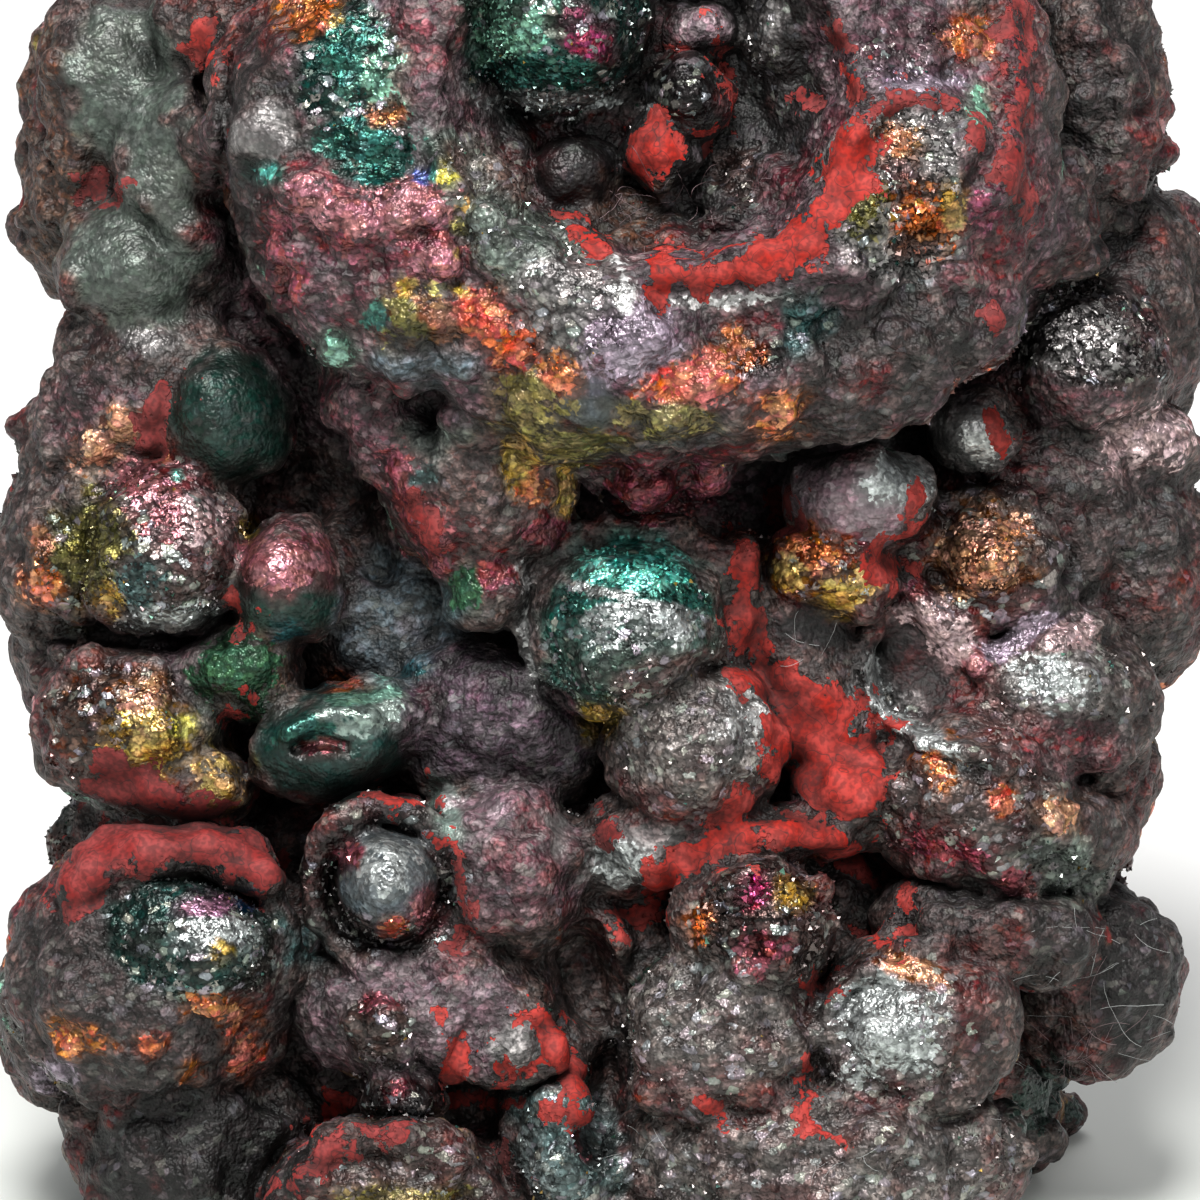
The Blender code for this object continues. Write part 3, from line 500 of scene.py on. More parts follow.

# Bright colours over the ground, the last rows painted highlights and glints: name, colour, place and radii
BLOOMS = [
    ("orange in the teal", "orange", (-14.2, 29.2), (1.2, 0.9)),
    ("gold in the teal", "gold", (-13.2, 29.0), (0.5, 0.5)),
    ("brown in the teal", "brown orange", (-10.9, 24.0), (0.9, 0.6)),
    ("teal of the upper lump", "teal", (-12.6, 26.9), (1.5, 2.3)),
    ("mint over it", "mint", (-11.2, 26.3), (1.1, 1.4), 20),
    ("teal of the low lump", "teal", (-11.8, 22.7), (2.2, 1.6)),
    ("bright dash", "cyan", (-16.7, 21.3), (0.7, 0.22), -10),
    ("blue speck", "blue", (-8.8, 21.1), (0.3, 0.3)),
    ("cyan speck", "cyan", (-8.3, 21.3), (0.2, 0.2)),
    ("yellow speck", "yellow", (-7.8, 21.2), (0.35, 0.35)),
    ("pink band left", "pink", (-14.5, 20.2), (1.6, 1.1)),
    ("pink band middle", "pink", (-12.4, 19.2), (1.6, 1.3)),
    ("pink band right", "pink", (-9.3, 19.5), (1.9, 1.2)),
    ("pink band foot", "pink", (-8.2, 17.1), (1.2, 0.9)),
    ("rose under the band", "rose", (-12.6, 17.8), (1.4, 0.6), -20),
    ("rose under its right", "rose", (-9.0, 18.0), (1.6, 0.7)),
    ("rose strip", "rose", (-15.9, 17.2), (0.6, 2.9), 15),
    ("olive patch", "olive", (-9.4, 13.8), (1.5, 1.0), -10),
    ("orange in the olive", "brown orange", (-8.2, 14.0), (1.5, 1.1)),
    ("orange-red patch", "orange red", (-6.1, 14.2), (1.7, 1.0), -10),
    ("its lower end", "orange red", (-4.2, 12.4), (0.8, 0.9), -30),
    ("yellow dots", "gold", (-9.6, 15.7), (0.3, 0.25)),
    ("second yellow dot", "yellow", (-8.2, 15.5), (0.28, 0.28)),
    ("third yellow dot", "gold", (-7.0, 15.3), (0.3, 0.22)),
    ("fourth yellow dot", "yellow", (-7.2, 18.7), (0.24, 0.24)),
    ("fifth yellow dot", "gold", (-7.3, 17.3), (0.22, 0.22)),
    ("sixth yellow dot", "gold", (-6.9, 19.7), (0.2, 0.2)),
    ("green-blue specks", "teal", (-11.2, 14.1), (0.8, 0.5)),
    ("mint specks", "mint", (-13.1, 12.4), (0.9, 0.6)),
    ("olive of the lip", "yellow olive", (-3.8, 9.8), (1.6, 1.6), -30),
    ("orange of the lip", "orange", (-2.2, 11.2), (0.9, 0.7)),
    ("low gold of the lip", "yellow olive", (-1.0, 7.9), (2.6, 0.5)),
    ("lavender", "lavender", (1.7, 12.9), (2.1, 1.8)),
    ("white streak", "white", (1.2, 15.2), (0.35, 1.3), 5),
    ("red-orange of the lip", "orange red", (4.3, 10.8), (2.3, 1.1), 5),
    ("orange above it", "orange", (6.5, 12.4), (1.1, 0.7), 20),
    ("olive under it", "yellow olive", (3.2, 9.2), (2.3, 0.7)),
    ("right orange", "orange", (8.8, 9.6), (1.0, 1.1)),
    ("white dots of the ridge", "white", (6.4, 15.0), (2.6, 0.25), 4),
    ("orange of the cheek", "orange", (16.4, 19.1), (1.2, 1.4)),
    ("gold of the cheek", "gold", (17.4, 19.6), (0.6, 1.0)),
    ("olive of the cheek", "olive", (13.0, 19.6), (0.9, 1.1)),
    ("peach of the cheek", "peach", (14.4, 22.8), (1.2, 0.6)),
    ("magenta dots", "magenta", (19.2, 19.4), (0.5, 0.6)),
    ("orange over the cheek", "orange", (18.6, 28.0), (0.9, 0.8)),
    ("mint over the cheek", "mint", (18.8, 24.6), (0.4, 0.9)),
    ("lavender over the cheek", "lavender", (16.0, 25.9), (2.2, 0.3)),
    ("mint of the crater knob", "mint", (-4.3, 28.2), (1.6, 1.6)),
    ("teal of the crater knob", "teal", (-3.0, 26.6), (2.4, 1.0)),
    ("magenta of the crater knob", "magenta", (-0.9, 28.1), (1.0, 0.9)),
    ("pink of the pink knob", "pink", (-21.9, 5.2), (2.6, 1.3), -38),
    ("its bluish side", "slate teal", (-23.2, 0.7), (0.8, 1.0)),
    ("olive side", "olive", (-25.7, 2.6), (1.4, 2.3), -20),
    ("gold foot of the olive", "gold", (-24.4, 0.2), (0.7, 0.5), -20),
    ("orange left of it", "orange", (-27.4, 0.8), (0.8, 0.8)),
    ("orange further up", "brown orange", (-27.9, 2.8), (0.5, 0.6)),
    ("peach over the pink knob", "peach", (-24.6, 8.0), (0.8, 1.6), -45),
    ("orange-red spot", "orange red", (-22.1, 7.2), (0.5, 0.45)),
    ("cyan speck by it", "cyan", (-21.2, 6.1), (0.22, 0.22)),
    ("pink of the small knob", "pink", (-15.8, 2.1), (2.0, 1.3)),
    ("gold speck over it", "gold", (-17.5, 3.5), (0.3, 0.3)),
    ("teal blue under it", "teal blue", (-15.6, -1.7), (0.9, 0.45)),
    ("green patch", "green", (-17.9, -3.4), (2.3, 1.8)),
    ("green patch's foot", "green", (-17.6, -4.8), (1.2, 1.0)),
    ("peach of the gold lump", "peach", (-22.9, -4.9), (0.9, 0.7)),
    ("gold", "gold", (-22.2, -6.9), (1.8, 1.4), -30),
    ("yellow in the gold", "yellow", (-21.2, -6.6), (0.7, 0.7)),
    ("low gold", "gold", (-19.1, -9.1), (1.1, 1.1)),
    ("mint of the long knob", "mint", (-11.9, -5.0), (1.6, 0.5), 12),
    ("teal of the long knob", "teal", (-13.8, -6.2), (2.2, 0.6), 15),
    ("brown of its slit", "maroon", (-13.9, -7.2), (1.1, 0.3)),
    ("orange over it", "orange red", (-13.0, -4.1), (0.9, 0.3)),
    ("teal of the pit", "teal blue", (-9.3, -3.5), (0.8, 0.4)),
    ("rose of the pendant", "rose", (-9.2, 4.6), (0.8, 3.6), 25),
    ("green-grey of the pendant", "slate teal", (-9.1, 6.0), (0.8, 0.4), 10),
    ("its right rose", "rose", (-2.9, 3.4), (1.0, 0.45), 15),
    ("gold crystals", "gold", (-4.0, 7.2), (0.6, 1.3)),
    ("orange crystals", "orange", (-3.5, 6.0), (0.5, 0.7)),
    ("gold crystals right", "gold", (-1.9, 5.5), (0.25, 1.1)),
    ("crimson of the tip", "crimson", (-5.4, 1.1), (0.9, 0.8)),
    ("green of the tip", "green", (-6.5, 0.8), (0.8, 0.8)),
    ("crimson knob", "crimson", (2.3, 5.8), (1.9, 1.4)),
    ("small crimson knob", "rose", (5.3, 6.4), (0.9, 1.0)),
    ("cyan of the central knob", "cyan", (1.5, 1.2), (2.7, 1.6)),
    ("teal under the cyan", "teal", (1.6, 0.0), (3.4, 1.2)),
    ("gold under the central knob", "gold", (0.0, -6.1), (0.8, 0.6)),
    ("orange of the drusy lump", "orange", (10.6, 2.6), (1.6, 0.9), -20),
    ("gold of the drusy lump", "gold", (12.4, 0.6), (1.0, 0.8)),
    ("gold further left", "gold", (9.6, 1.6), (0.7, 0.7)),
    ("orange knob", "peach", (19.1, 2.4), (2.0, 1.9)),
    ("pink-white left arm", "pale pink", (17.0, -1.5), (2.3, 0.7), -42),
    ("its end", "pink", (18.9, -3.1), (0.7, 0.6)),
    ("pink-white right arm", "lavender", (20.8, -1.9), (2.2, 0.6), 32),
    ("far pink-white arm", "pale pink", (23.6, -1.7), (1.4, 0.55), 20),
    ("rose start of the arm", "rose", (15.6, 0.3), (0.6, 0.5)),
    ("pink-white lump", "pale pink", (27.0, 8.0), (2.3, 1.2), 18),
    ("silver of the eye knob", "silver", (22.5, -4.0), (1.8, 0.9), -12),
    ("silver rim of the hollow", "silver", (13.9, -4.6), (0.3, 1.8), 12),
    ("silver foot of the hollow", "silver", (16.4, -7.0), (2.0, 0.3), -32),
    ("orange of the speckled lobe", "orange", (16.9, -7.9), (0.6, 0.8)),
    ("orange speck", "orange red", (20.1, -9.9), (0.4, 0.4)),
    ("peach speck", "peach", (23.1, -10.7), (0.7, 0.5)),
    ("crimson under them", "crimson", (17.3, -12.5), (1.9, 0.9), -10),
    ("rose blotch", "rose", (20.9, -14.1), (0.8, 0.6)),
    ("yellow of the speckled knob", "gold", (9.5, -14.8), (0.5, 0.5)),
    ("magenta of the speckled knob", "magenta", (7.7, -14.8), (0.6, 0.5)),
    ("orange of the speckled knob", "orange", (5.1, -16.2), (0.5, 0.6)),
    ("rose of the speckled knob", "rose", (7.9, -17.4), (0.9, 0.9)),
    ("silver centre", "silver", (14.2, -21.4), (2.5, 2.4)),
    ("gold middle", "yellow", (14.2, -21.6), (0.35, 0.3)),
    ("peach ring", "peach", (15.6, -18.6), (1.4, 0.35), -20),
    ("green low right", "dark green", (22.3, -24.7), (1.6, 2.0)),
    ("orchid of the great knob", "orchid", (-19.8, -15.4), (1.2, 0.4)),
    ("silver of the great knob", "silver", (-19.2, -16.6), (1.6, 0.6)),
    ("gold of the great knob", "gold", (-18.9, -17.3), (0.4, 0.4)),
    ("blue of the great knob", "blue", (-17.6, -15.0), (0.3, 0.2)),
    ("orange streaks", "orange", (-18.9, -20.5), (1.4, 0.4), -8),
    ("orange dots", "orange red", (-18.0, -22.6), (0.5, 1.0)),
    ("left orange", "orange", (-26.1, -21.9), (1.3, 0.35), -25),
    ("orange spot", "orange red", (-22.5, -22.1), (0.4, 0.45)),
    ("low orange spot", "orange", (-20.4, -23.6), (0.4, 0.35)),
    ("mauve at the left edge", "lavender", (-27.6, -23.7), (0.9, 0.6)),
    ("pink of the silver eye", "pink", (-8.9, -15.5), (0.6, 1.0)),
    ("its left pink", "rose", (-12.5, -12.8), (0.5, 0.4)),
    ("its orange", "orange red", (-10.2, -16.2), (0.5, 0.3)),
    ("rose of the round knob", "rose", (-10.9, -20.2), (0.7, 0.3)),
    ("gold at the bottom", "yellow olive", (-10.0, -29.9), (2.4, 0.3)),
    ("rose of the low knob", "rose", (-10.0, -24.4), (0.4, 0.3)),
    # Painted highlights and glints: silver, white and pale flakes where the light catches the knobs
    ("highlight of the silver eye", "silver", (-10.3, -13.4), (1.3, 1.2)),
    ("white flakes under the centre", "white", (7.3, -5.9), (1.0, 1.2), -20),
    ("flakes of the central knob", "silver", (1.6, -0.2), (3.2, 1.6), -10),
    ("dotted edge of the central knob", "white", (-3.6, -1.4), (0.2, 2.4), 8),
    ("flakes of the large right knob", "pale grey", (24.4, 12.6), (2.2, 1.7), -20),
    ("flakes under the third left knob", "pale grey", (-22.4, 12.8), (1.3, 0.35), -8),
    ("flaky edge of the crater knob", "silver", (-2.3, 25.0), (3.4, 0.35)),
    ("flaky edge under the pink knob", "silver", (-21.0, -0.8), (2.1, 0.4)),
    ("flakes of the pink knob", "pale pink", (-20.6, 4.4), (1.6, 1.0), -38),
    ("flakes of the pale knob", "white", (19.0, 8.0), (0.8, 0.9)),
    ("flakes of the lavender lump", "silver", (14.6, 5.8), (1.5, 1.1), -20),
    ("flakes in the slope", "silver", (12.1, -6.2), (0.22, 0.9), 20),
    ("flakes left of the grey lump", "silver", (0.8, -13.2), (1.2, 0.8)),
    ("flakes of the long knob", "pale mint", (-12.4, -5.8), (2.2, 0.8), 12),
]

# The red coat, as strokes: name, colour, half width and the points that it runs through
COATS = [
    ("crater's red ridge", "red", 1.05, [(2.9, 16.1), (5.2, 16.2), (7.8, 16.8), (9.4, 17.2)]),
    ("its bend", "red", 1.2, [(9.6, 17.4), (10.9, 18.9), (12.1, 20.8), (13.0, 22.8)]),
    ("its tip", "red", 0.4, [(13.0, 23.0), (12.9, 24.6), (12.7, 26.2)]),
    ("cheek's arc", "deep red", 0.28, [(12.8, 23.5), (15.0, 25.1), (17.5, 24.8), (19.2, 22.6)]),
    ("right seam", "deep red", 0.55, [(20.4, 29.5), (20.9, 26.0), (20.4, 22.0), (21.4, 19.0)]),
    ("left of the fuzz", "red", 0.5, [(-1.5, 18.9), (-0.3, 17.6)]),
    ("tongue", "red", 1.25, [(2.4, 22.1), (3.2, 22.8)]),
    ("right of the small knob", "red", 0.45,
     [(5.0, 26.9), (6.2, 26.4), (6.6, 25.2), (6.1, 24.0), (5.0, 23.5)]),
    ("above the small knob", "red", 0.22, [(3.0, 27.9), (6.4, 27.8)]),
    ("crater speck", "deep red", 0.35, [(10.0, 25.0), (10.3, 25.0)]),
    ("speck by the lump", "deep red", 0.55, [(11.4, 28.1), (11.8, 28.0)]),
    ("left notch", "red", 0.8, [(-19.7, 27.6), (-19.4, 26.8)]),
    ("left seam", "deep red", 0.45, [(-25.4, 20.5), (-24.4, 20.7)]),
    ("strip by the dark knob", "deep red", 0.42, [(-20.6, 11.1), (-22.0, 10.2), (-22.4, 8.5), (-22.0, 7.2)]),
    ("strip of the small pink knob", "red", 0.28, [(-18.1, 0.0), (-17.4, -0.6), (-17.5, -1.5)]),
    ("under the green patch", "red", 0.5, [(-18.8, -5.6), (-17.2, -4.9)]),
    ("gold lump's foot", "deep red", 1.1, [(-24.6, -8.9), (-22.4, -10.0), (-19.6, -10.5)]),
    ("great knob's ridge", "deep red", 1.4,
     [(-26.0, -14.4), (-24.3, -12.3), (-21.5, -11.8), (-18.6, -12.3), (-17.0, -13.8)]),
    ("top of the silver eye", "red", 0.32, [(-11.2, -9.8), (-10.0, -10.3), (-9.0, -9.9)]),
    ("right top of the silver eye", "red", 0.5, [(-8.0, -11.7), (-7.6, -12.0)]),
    ("right edge of the silver eye", "deep red", 0.12, [(-7.2, -13.2), (-6.9, -15.4), (-7.4, -17.2)]),
    ("apron's stroke", "red", 0.42, [(-7.9, -21.2), (-7.3, -22.4), (-7.2, -23.8)]),
    ("apron's foot", "red", 0.35, [(-7.0, -24.7), (-4.8, -24.9)]),
    ("ring, left", "red", 0.12, [(-3.4, -20.4), (-5.2, -21.0), (-5.7, -22.4), (-4.8, -23.6)]),
    ("ring, right", "red", 0.12, [(-3.4, -20.4), (-2.5, -21.4), (-2.6, -22.8), (-3.6, -23.7)]),
    ("ring's tail", "red", 0.6, [(-2.6, -20.8), (-1.9, -22.4), (-1.2, -24.2), (-1.4, -25.2)]),
    ("tail's foot", "red", 0.35, [(-2.6, -25.5), (-0.6, -25.6)]),
    ("bottom arc", "deep red", 0.65, [(-16.0, -29.6), (-13.6, -27.6), (-11.8, -26.8), (-9.8, -27.0)]),
    ("bottom arc's right", "deep red", 0.28, [(-5.8, -26.7), (-4.7, -28.0), (-4.2, -29.9)]),
    ("over the bottom arc", "red", 0.4, [(-14.2, -26.6), (-13.6, -26.1), (-13.0, -24.8)]),
    ("pendant's edge", "deep red", 0.22, [(-9.2, 5.4), (-8.6, 3.8), (-8.0, 2.4)]),
    ("strand", "red", 0.42, [(6.9, 2.8), (7.3, 0.6), (7.7, -1.0)]),
    ("slope's top", "red", 1.3, [(7.4, -1.6), (8.0, -3.0), (9.2, -4.8)]),
    ("slope's face", "red", 2.4, [(10.4, -6.2), (11.2, -7.4), (12.0, -8.6)]),
    ("slope's foot", "red", 0.5, [(13.0, -9.4), (13.4, -10.8)]),
    ("slope's left tongue", "red", 0.6, [(9.6, -7.0), (8.4, -8.6)]),
    ("arch, left", "red", 1.1, [(3.3, -14.2), (5.0, -12.7), (7.2, -11.7)]),
    ("arch, right", "red", 0.85, [(8.4, -11.2), (10.4, -11.8), (12.8, -12.9)]),
    ("over the arch", "red", 0.4, [(6.8, -10.0), (8.4, -10.5)]),
    ("first trail", "red", 0.25, [(14.2, -13.4), (15.0, -15.0), (14.9, -16.0)]),
    ("second trail", "red", 0.25, [(12.6, -16.4), (14.0, -17.2), (15.4, -17.0)]),
    ("trail over the silver centre", "red", 0.4, [(9.8, -19.3), (11.4, -19.0)]),
    ("left of the speckled knob", "red", 0.35, [(0.8, -15.6), (3.6, -15.8)]),
    ("left of the grey lump", "deep red", 0.45, [(0.0, -11.3), (0.8, -11.6)]),
    ("low squiggle", "red", 0.28, [(10.4, -23.4), (9.8, -25.2), (10.4, -26.4), (12.0, -27.0)]),
    ("left of the squiggle", "red", 0.25, [(5.4, -25.4), (6.8, -25.9)]),
    ("corner of the lavender lump", "red", 1.0, [(14.0, 1.8), (14.6, 1.6)]),
    ("stroke up from it", "red", 0.4, [(14.8, 2.4), (15.5, 3.6), (15.7, 4.8)]),
    ("left of the lavender lump", "deep red", 0.8, [(9.2, 4.8), (9.4, 3.6)]),
    ("pale knob's edge", "red", 0.22, [(19.6, 9.4), (20.2, 8.4), (20.0, 7.4)]),
    ("by the hollow", "red", 0.4, [(13.2, -5.0), (13.3, -5.4)]),
    ("under the hollow", "red", 0.35, [(13.3, -7.0), (14.4, -6.6)]),
    ("over the right knob", "deep red", 0.45, [(19.4, 14.2), (19.6, 13.8)]),
]

# What the camera doesn't see is painted in patches of these
WILD_GROUNDS = (
    ("charcoal", "granular"), ("grey brown", "granular"), ("grey mauve", "granular"),
    ("mauve brown", "granular"), ("green grey", "satin"), ("dark teal", "drusy"),
    ("charcoal", "coarse"), ("grey brown", "drusy"), ("black", "granular"), ("purple", "granular"),
)
WILD_BLOOMS = (
    "teal", "mint", "rose", "pink", "orange", "gold", "lavender", "yellow olive", "orange red", "teal blue",
)
BASE_GROUND = ("grey brown", "granular")
BASE_GROUND_FROM = -8.0
BASE_GROUND_SOFTNESS = 6.0

# How softly the lumps of each kind run into each other, in millimetres
BLENDS = (
    (CORE, 2.0),
    (TOP_LOBE, 1.6),
    (LEFT_COLUMN, 0.6),
    (LEFT_KNOBS, 0.6),
    (MIDDLE_KNOBS, 0.6),
    (RIGHT_KNOBS, 0.6),
    (LOWER_KNOBS, 0.6),
)
BACK_BLEND = 0.7
COLLAR_BLEND = 0.5
HOLLOW_BLEND = 0.5
FINE_BLEND = 0.3

# The fine knobs: none is set on what lies further back than this, and each is sunk by a share of its radius
KNOBS_FORWARD_OF = -12.0
KNOB_DEPTH = 0.9
STREWN_STAND_OUT = 0.75
STREWN_SEED = 5
RELIEF_REACH = 1.4
RELIEF_ROUNDNESS = 0.8

# The small knobs of the sides and the back
SIDE_KNOBS = 600
SIDE_KNOB_RADII = (0.6, 1.5)
SIDE_KNOB_STRETCH = (0.8, 1.2)
SIDE_KNOBS_BEHIND = -5.0
SIDE_SEED = 7

# Patterns of smooth noise: the size of a cell, the height in millimetres or as a share, and the seed
UNEVENNESS = ((4.5, 0.42, 1), (2.2, 0.26, 2), (1.1, 0.12, 3))
WILD_GROUND_BEND = (3.0, 1.5, 31)
RED_DUST_WAVES = ((3.4, 1.6, 35), (1.2, 0.8, 36))
TORN = ((1.3, 0.75, 38), (0.6, 0.45, 39))
WILD_BLOOM_BEND = (2.5, 1.2, 41)
WILD_BLOOM_EDGE = (1.4, 0.4, 45)
VEINS = (9.0, 2.4, 51)
VEIN_WAVES = (5.0, 0.5, 52)
CRYSTAL_CLUSTERS = (1.4, 1.0, 71)

# Patterns of scattered seeds: the size of a cell and the number of the random table
WILD_GROUND_CELLS = (6.5, 33)
WILD_BLOOM_CELLS = (4.6, 43)
SCATTER = 0.42
TABLE = 61

# The folds that make a rugged skin, and its rounded grains: the size of each, its height and its seed
FOLDS = ((3.2, 0.4, 61), (1.3, 0.16, 62))
FOLD_MEAN = 0.3
GRAINS = ((2.1, 0.55, 65), (1.15, 0.4, 67))
GRAIN_MIDDLE = 0.5
GRAIN_ROUNDNESS = 1.4
SMOOTHINGS = 2
# Painted shade in the valleys of the folds and painted light on their ridges: how strong, over what depth,
# and how light the ridges are painted
VALLEY_PAINTED_SHADE = 0.55
VALLEY_DEPTH = 0.2
RIDGE_PAINTED_LIGHT = 0.6

# Painted shade and red dust: how far out the skin is felt for how open it is, and how dark the shade is
# painted at the most closed place
SHADE_PROBE_REACHES = (0.7, 1.6, 3.2)
BURIED = -0.2
PAINTED_SHADE_CURVE = 1.3
DARKEST_PAINTED_SHADE = 0.22
GROUND_DEPTH = 0.66
GROUND_SOFTNESS = 0.7
GROUND_REACH = 1.0
RED_DUST = 0.5

# Sight: the size of the cells that the camera's view is sorted in, and when a point counts as hidden
SIGHT_CELL = 0.4
SIGHT_SLACK = 0.8
SIGHT_SOFTNESS = 1.4
SIGHT_FACING = 0.9
SIGHT_AWAY = 3.0

# The patches of bright colour: small ones are crisp and large ones torn, and they light what lies round them
PATCH_REACH = 2.0
NOWHERE = -2.0
HIDDEN_FADE = 3.0
TEAR_START = 0.15
TEAR_GROWTH = 0.65
LEAST_TEAR = 0.4
SMALL_BOOST = 0.3
HALO_REACH = 1.3
HALO_SHARE = 0.4
HALO_LIGHT = 0.5
WILD_BLOOM_SIZE = 0.12
WILD_BLOOM_SPREAD = 0.22
WILD_BLOOM_STEEPNESS = 2.2

# The red coat: its veins on what the camera doesn't see, its torn edge, its thickness and its grain
VEIN_LEVEL = 0.3
VEIN_STEEPNESS = 2.0
VEIN_THRESHOLD = 0.6
COAT_TEAR = 0.8
COAT_SOFTNESS = 0.3
COAT_THICKNESS = 0.07
COAT_RIM = 0.2
COAT_CALM = 0.4
COAT_LEAST_GRAIN = 0.85

# The grain of the material, in millimetres
SPECK_SIZE = 0.26
CLOUD_SIZE = 1.3
FLAKE_SIZE = 0.4
FLAKE_STRETCH = (0.78, 1.0, 1.1)
FLAKE_WAVE = 0.3
FLAKE_TILT = 0.6
GRAIN_BUMP = 0.2
CRACK_COLOUR = (0.02, 0.008, 0.008, 1)

# The crystals: how many, how they tilt and cluster, and their radii where the skin is drusy and coarse
CRYSTALS = 26000
CRYSTAL_TILT = 0.5
CRYSTAL_SEED = 17
CRYSTALS_FROM = 0.12
CRYSTALS_OFF_COAT = -0.1
CLUSTER_MIDDLE = 0.5
CLUSTER_LEAST = 0.05
CLUSTER_CURVE = 1.5
SPARKLE_CURVE = 1.2
DRUSY_RADII = (0.09, 0.17)
COARSE_RADII = (0.12, 0.32)
COARSE_FROM = 0.75
CRYSTAL_SUNK = 0.35
CRYSTAL_HEIGHTS = (1.0, 1.5)
CRYSTAL_WIDTHS = (0.8, 1.25)
CRYSTAL_GROUND_LIGHT = (0.8, 2.0)
CRYSTAL_BLOOM_LIGHT = (0.7, 1.3)
CRYSTAL_SILVERS = ("silver", "white", "mint", "lavender", "pale pink", "gold", "teal")
SILVERY_SHARE = 0.035
SILVERY_LIGHT = 0.7

# The lint: where it lies, how far it spreads, how many fibres, how long they are, and which kind
LINT = [
    ("far right lobe", (25.0, -20.0), (2.0, 5.0), 22, (3.0, 7.0), "pale"),
    ("tangle on that lobe", (23.6, -22.6), (1.6, 3.0), 30, (2.0, 6.0), "brown"),
    ("left of that lobe", (20.6, -24.0), (0.8, 2.2), 6, (1.2, 2.6), "pale"),
    ("red slope", (10.6, -2.8), (1.6, 0.6), 4, (1.5, 3.4), "pale"),
    ("apron", (12.0, -27.2), (0.8, 1.4), 4, (1.2, 2.6), "pale"),
    ("crater's left tangle", (1.8, 18.8), (1.8, 1.7), 26, (0.9, 2.2), "brown"),
    ("crater's right tangle", (6.2, 19.2), (1.8, 1.2), 14, (0.9, 2.0), "brown"),
    ("grey-teal lump", (2.2, -27.0), (0.8, 1.6), 4, (1.4, 2.8), "pale"),
]
LINT_RADIUS = 0.013
LINT_RADIUS_SPREAD = (0.7, 1.3)
LINT_POINTS = 18
LINT_CURL = 0.11
LINT_WANDER = 0.16
LINT_ARCH = (0.1, 0.5)
LINT_CLEARANCE = 0.08
LINT_SAG = 0.3
LINT_CLIMB = 2.5
LINT_DROP = 1.0
LINT_OVER_BASE = 1.0
LINT_SEED = 23

# The skin is drawn in sections: those of the front by their lower and upper edge, and two behind
FRONT_SECTIONS = (("skin-lobe", 8.0, 99.0), ("skin-middle", -12.0, 8.0), ("skin-lower", -99.0, -12.0))
FRONT_FROM = -6.0
BACK_SPLIT = 4.0
BASE_MARGIN = 0.3

# The studio: the floor's half width, and each light's name, place, size, power and colour, in metres
FLOOR_REACH = 1.5
FLOOR_FAR_COLOUR = (0.9, 0.9, 0.9, 1)
# Painted shade: the floor is painted greyer near the camera
FLOOR_NEAR_SHADE_COLOUR = (0.62, 0.66, 0.62, 1)
LIGHTS = (
    ("key", (-0.04, -0.18, 0.39), 0.16, 2.7, (1.0, 0.985, 0.96)),
    ("fill", (0.16, -0.34, 0.20), 0.16, 0.3, (1.0, 0.98, 0.96)),
    ("rim", (0.05, 0.36, 0.30), 0.30, 0.9, (1.0, 0.99, 0.98)),
)
DAYLIGHT = (0.95, 0.97, 1.0, 1)
DAYLIGHT_STRENGTH = 0.2
SENSOR_WIDTH = 36.0
CLIP_START = 0.01
LIGHT_BOUNCES = {"max_bounces": 2, "diffuse_bounces": 1, "glossy_bounces": 1}


def random_table(seed, channels=1):
    """A cube of random numbers from -1 to 1 that repeats in all directions."""
    return np.random.default_rng(seed).uniform(-1, 1, (TABLE, TABLE, TABLE, channels)).astype(np.float32)


def eased(part):
    return part * part * part * (part * (part * 6 - 15) + 10)


def cell_corners(part):
    """The eight corners of a cell, each with its share in what lies between them."""
    for corner in itertools.product((0, 1), repeat=3):
        dx, dy, dz = corner
        share = np.abs(1 - dx - part[:, 0]) * np.abs(1 - dy - part[:, 1]) * np.abs(1 - dz - part[:, 2])
        yield corner, share


def noise_at(points, cell, seed):
    """Smooth noise from -1 to 1 at each point, with one bump or dip to a cell."""
    table = random_table(seed)[..., 0]
    scaled = points / cell
    base = np.floor(scaled).astype(int)
    value = 0.0
    for corner, share in cell_corners(eased(scaled - base)):
        x, y, z = ((base + corner) % TABLE).T
        value = value + share * table[x, y, z]
    return value


def wave(points, pattern):
    """The smooth noise of a pattern at each point."""
    cell, height, seed = pattern
    return height * noise_at(points, cell, seed)


def nearest_seed(points, cell, seed):
    """How far each point is from the nearest scattered seed, in cells, and that seed's random numbers."""
    places = random_table(seed, 3)
    marks = random_table(seed + 1, 3)
    scaled = points / cell
    base = np.floor(scaled).astype(int)
    best = np.full(len(points), 9.0, np.float32)
    mark = np.zeros((len(points), 3), np.float32)
    for step in itertools.product((-1, 0, 1), repeat=3):
        corner = base + step
        index = tuple((corner % TABLE).T)
        away = np.linalg.norm(corner + 0.5 + SCATTER * places[index] - scaled, axis=1)
        closer = away < best
        best[closer] = away[closer]
        mark[closer] = marks[index][closer]
    return best, mark


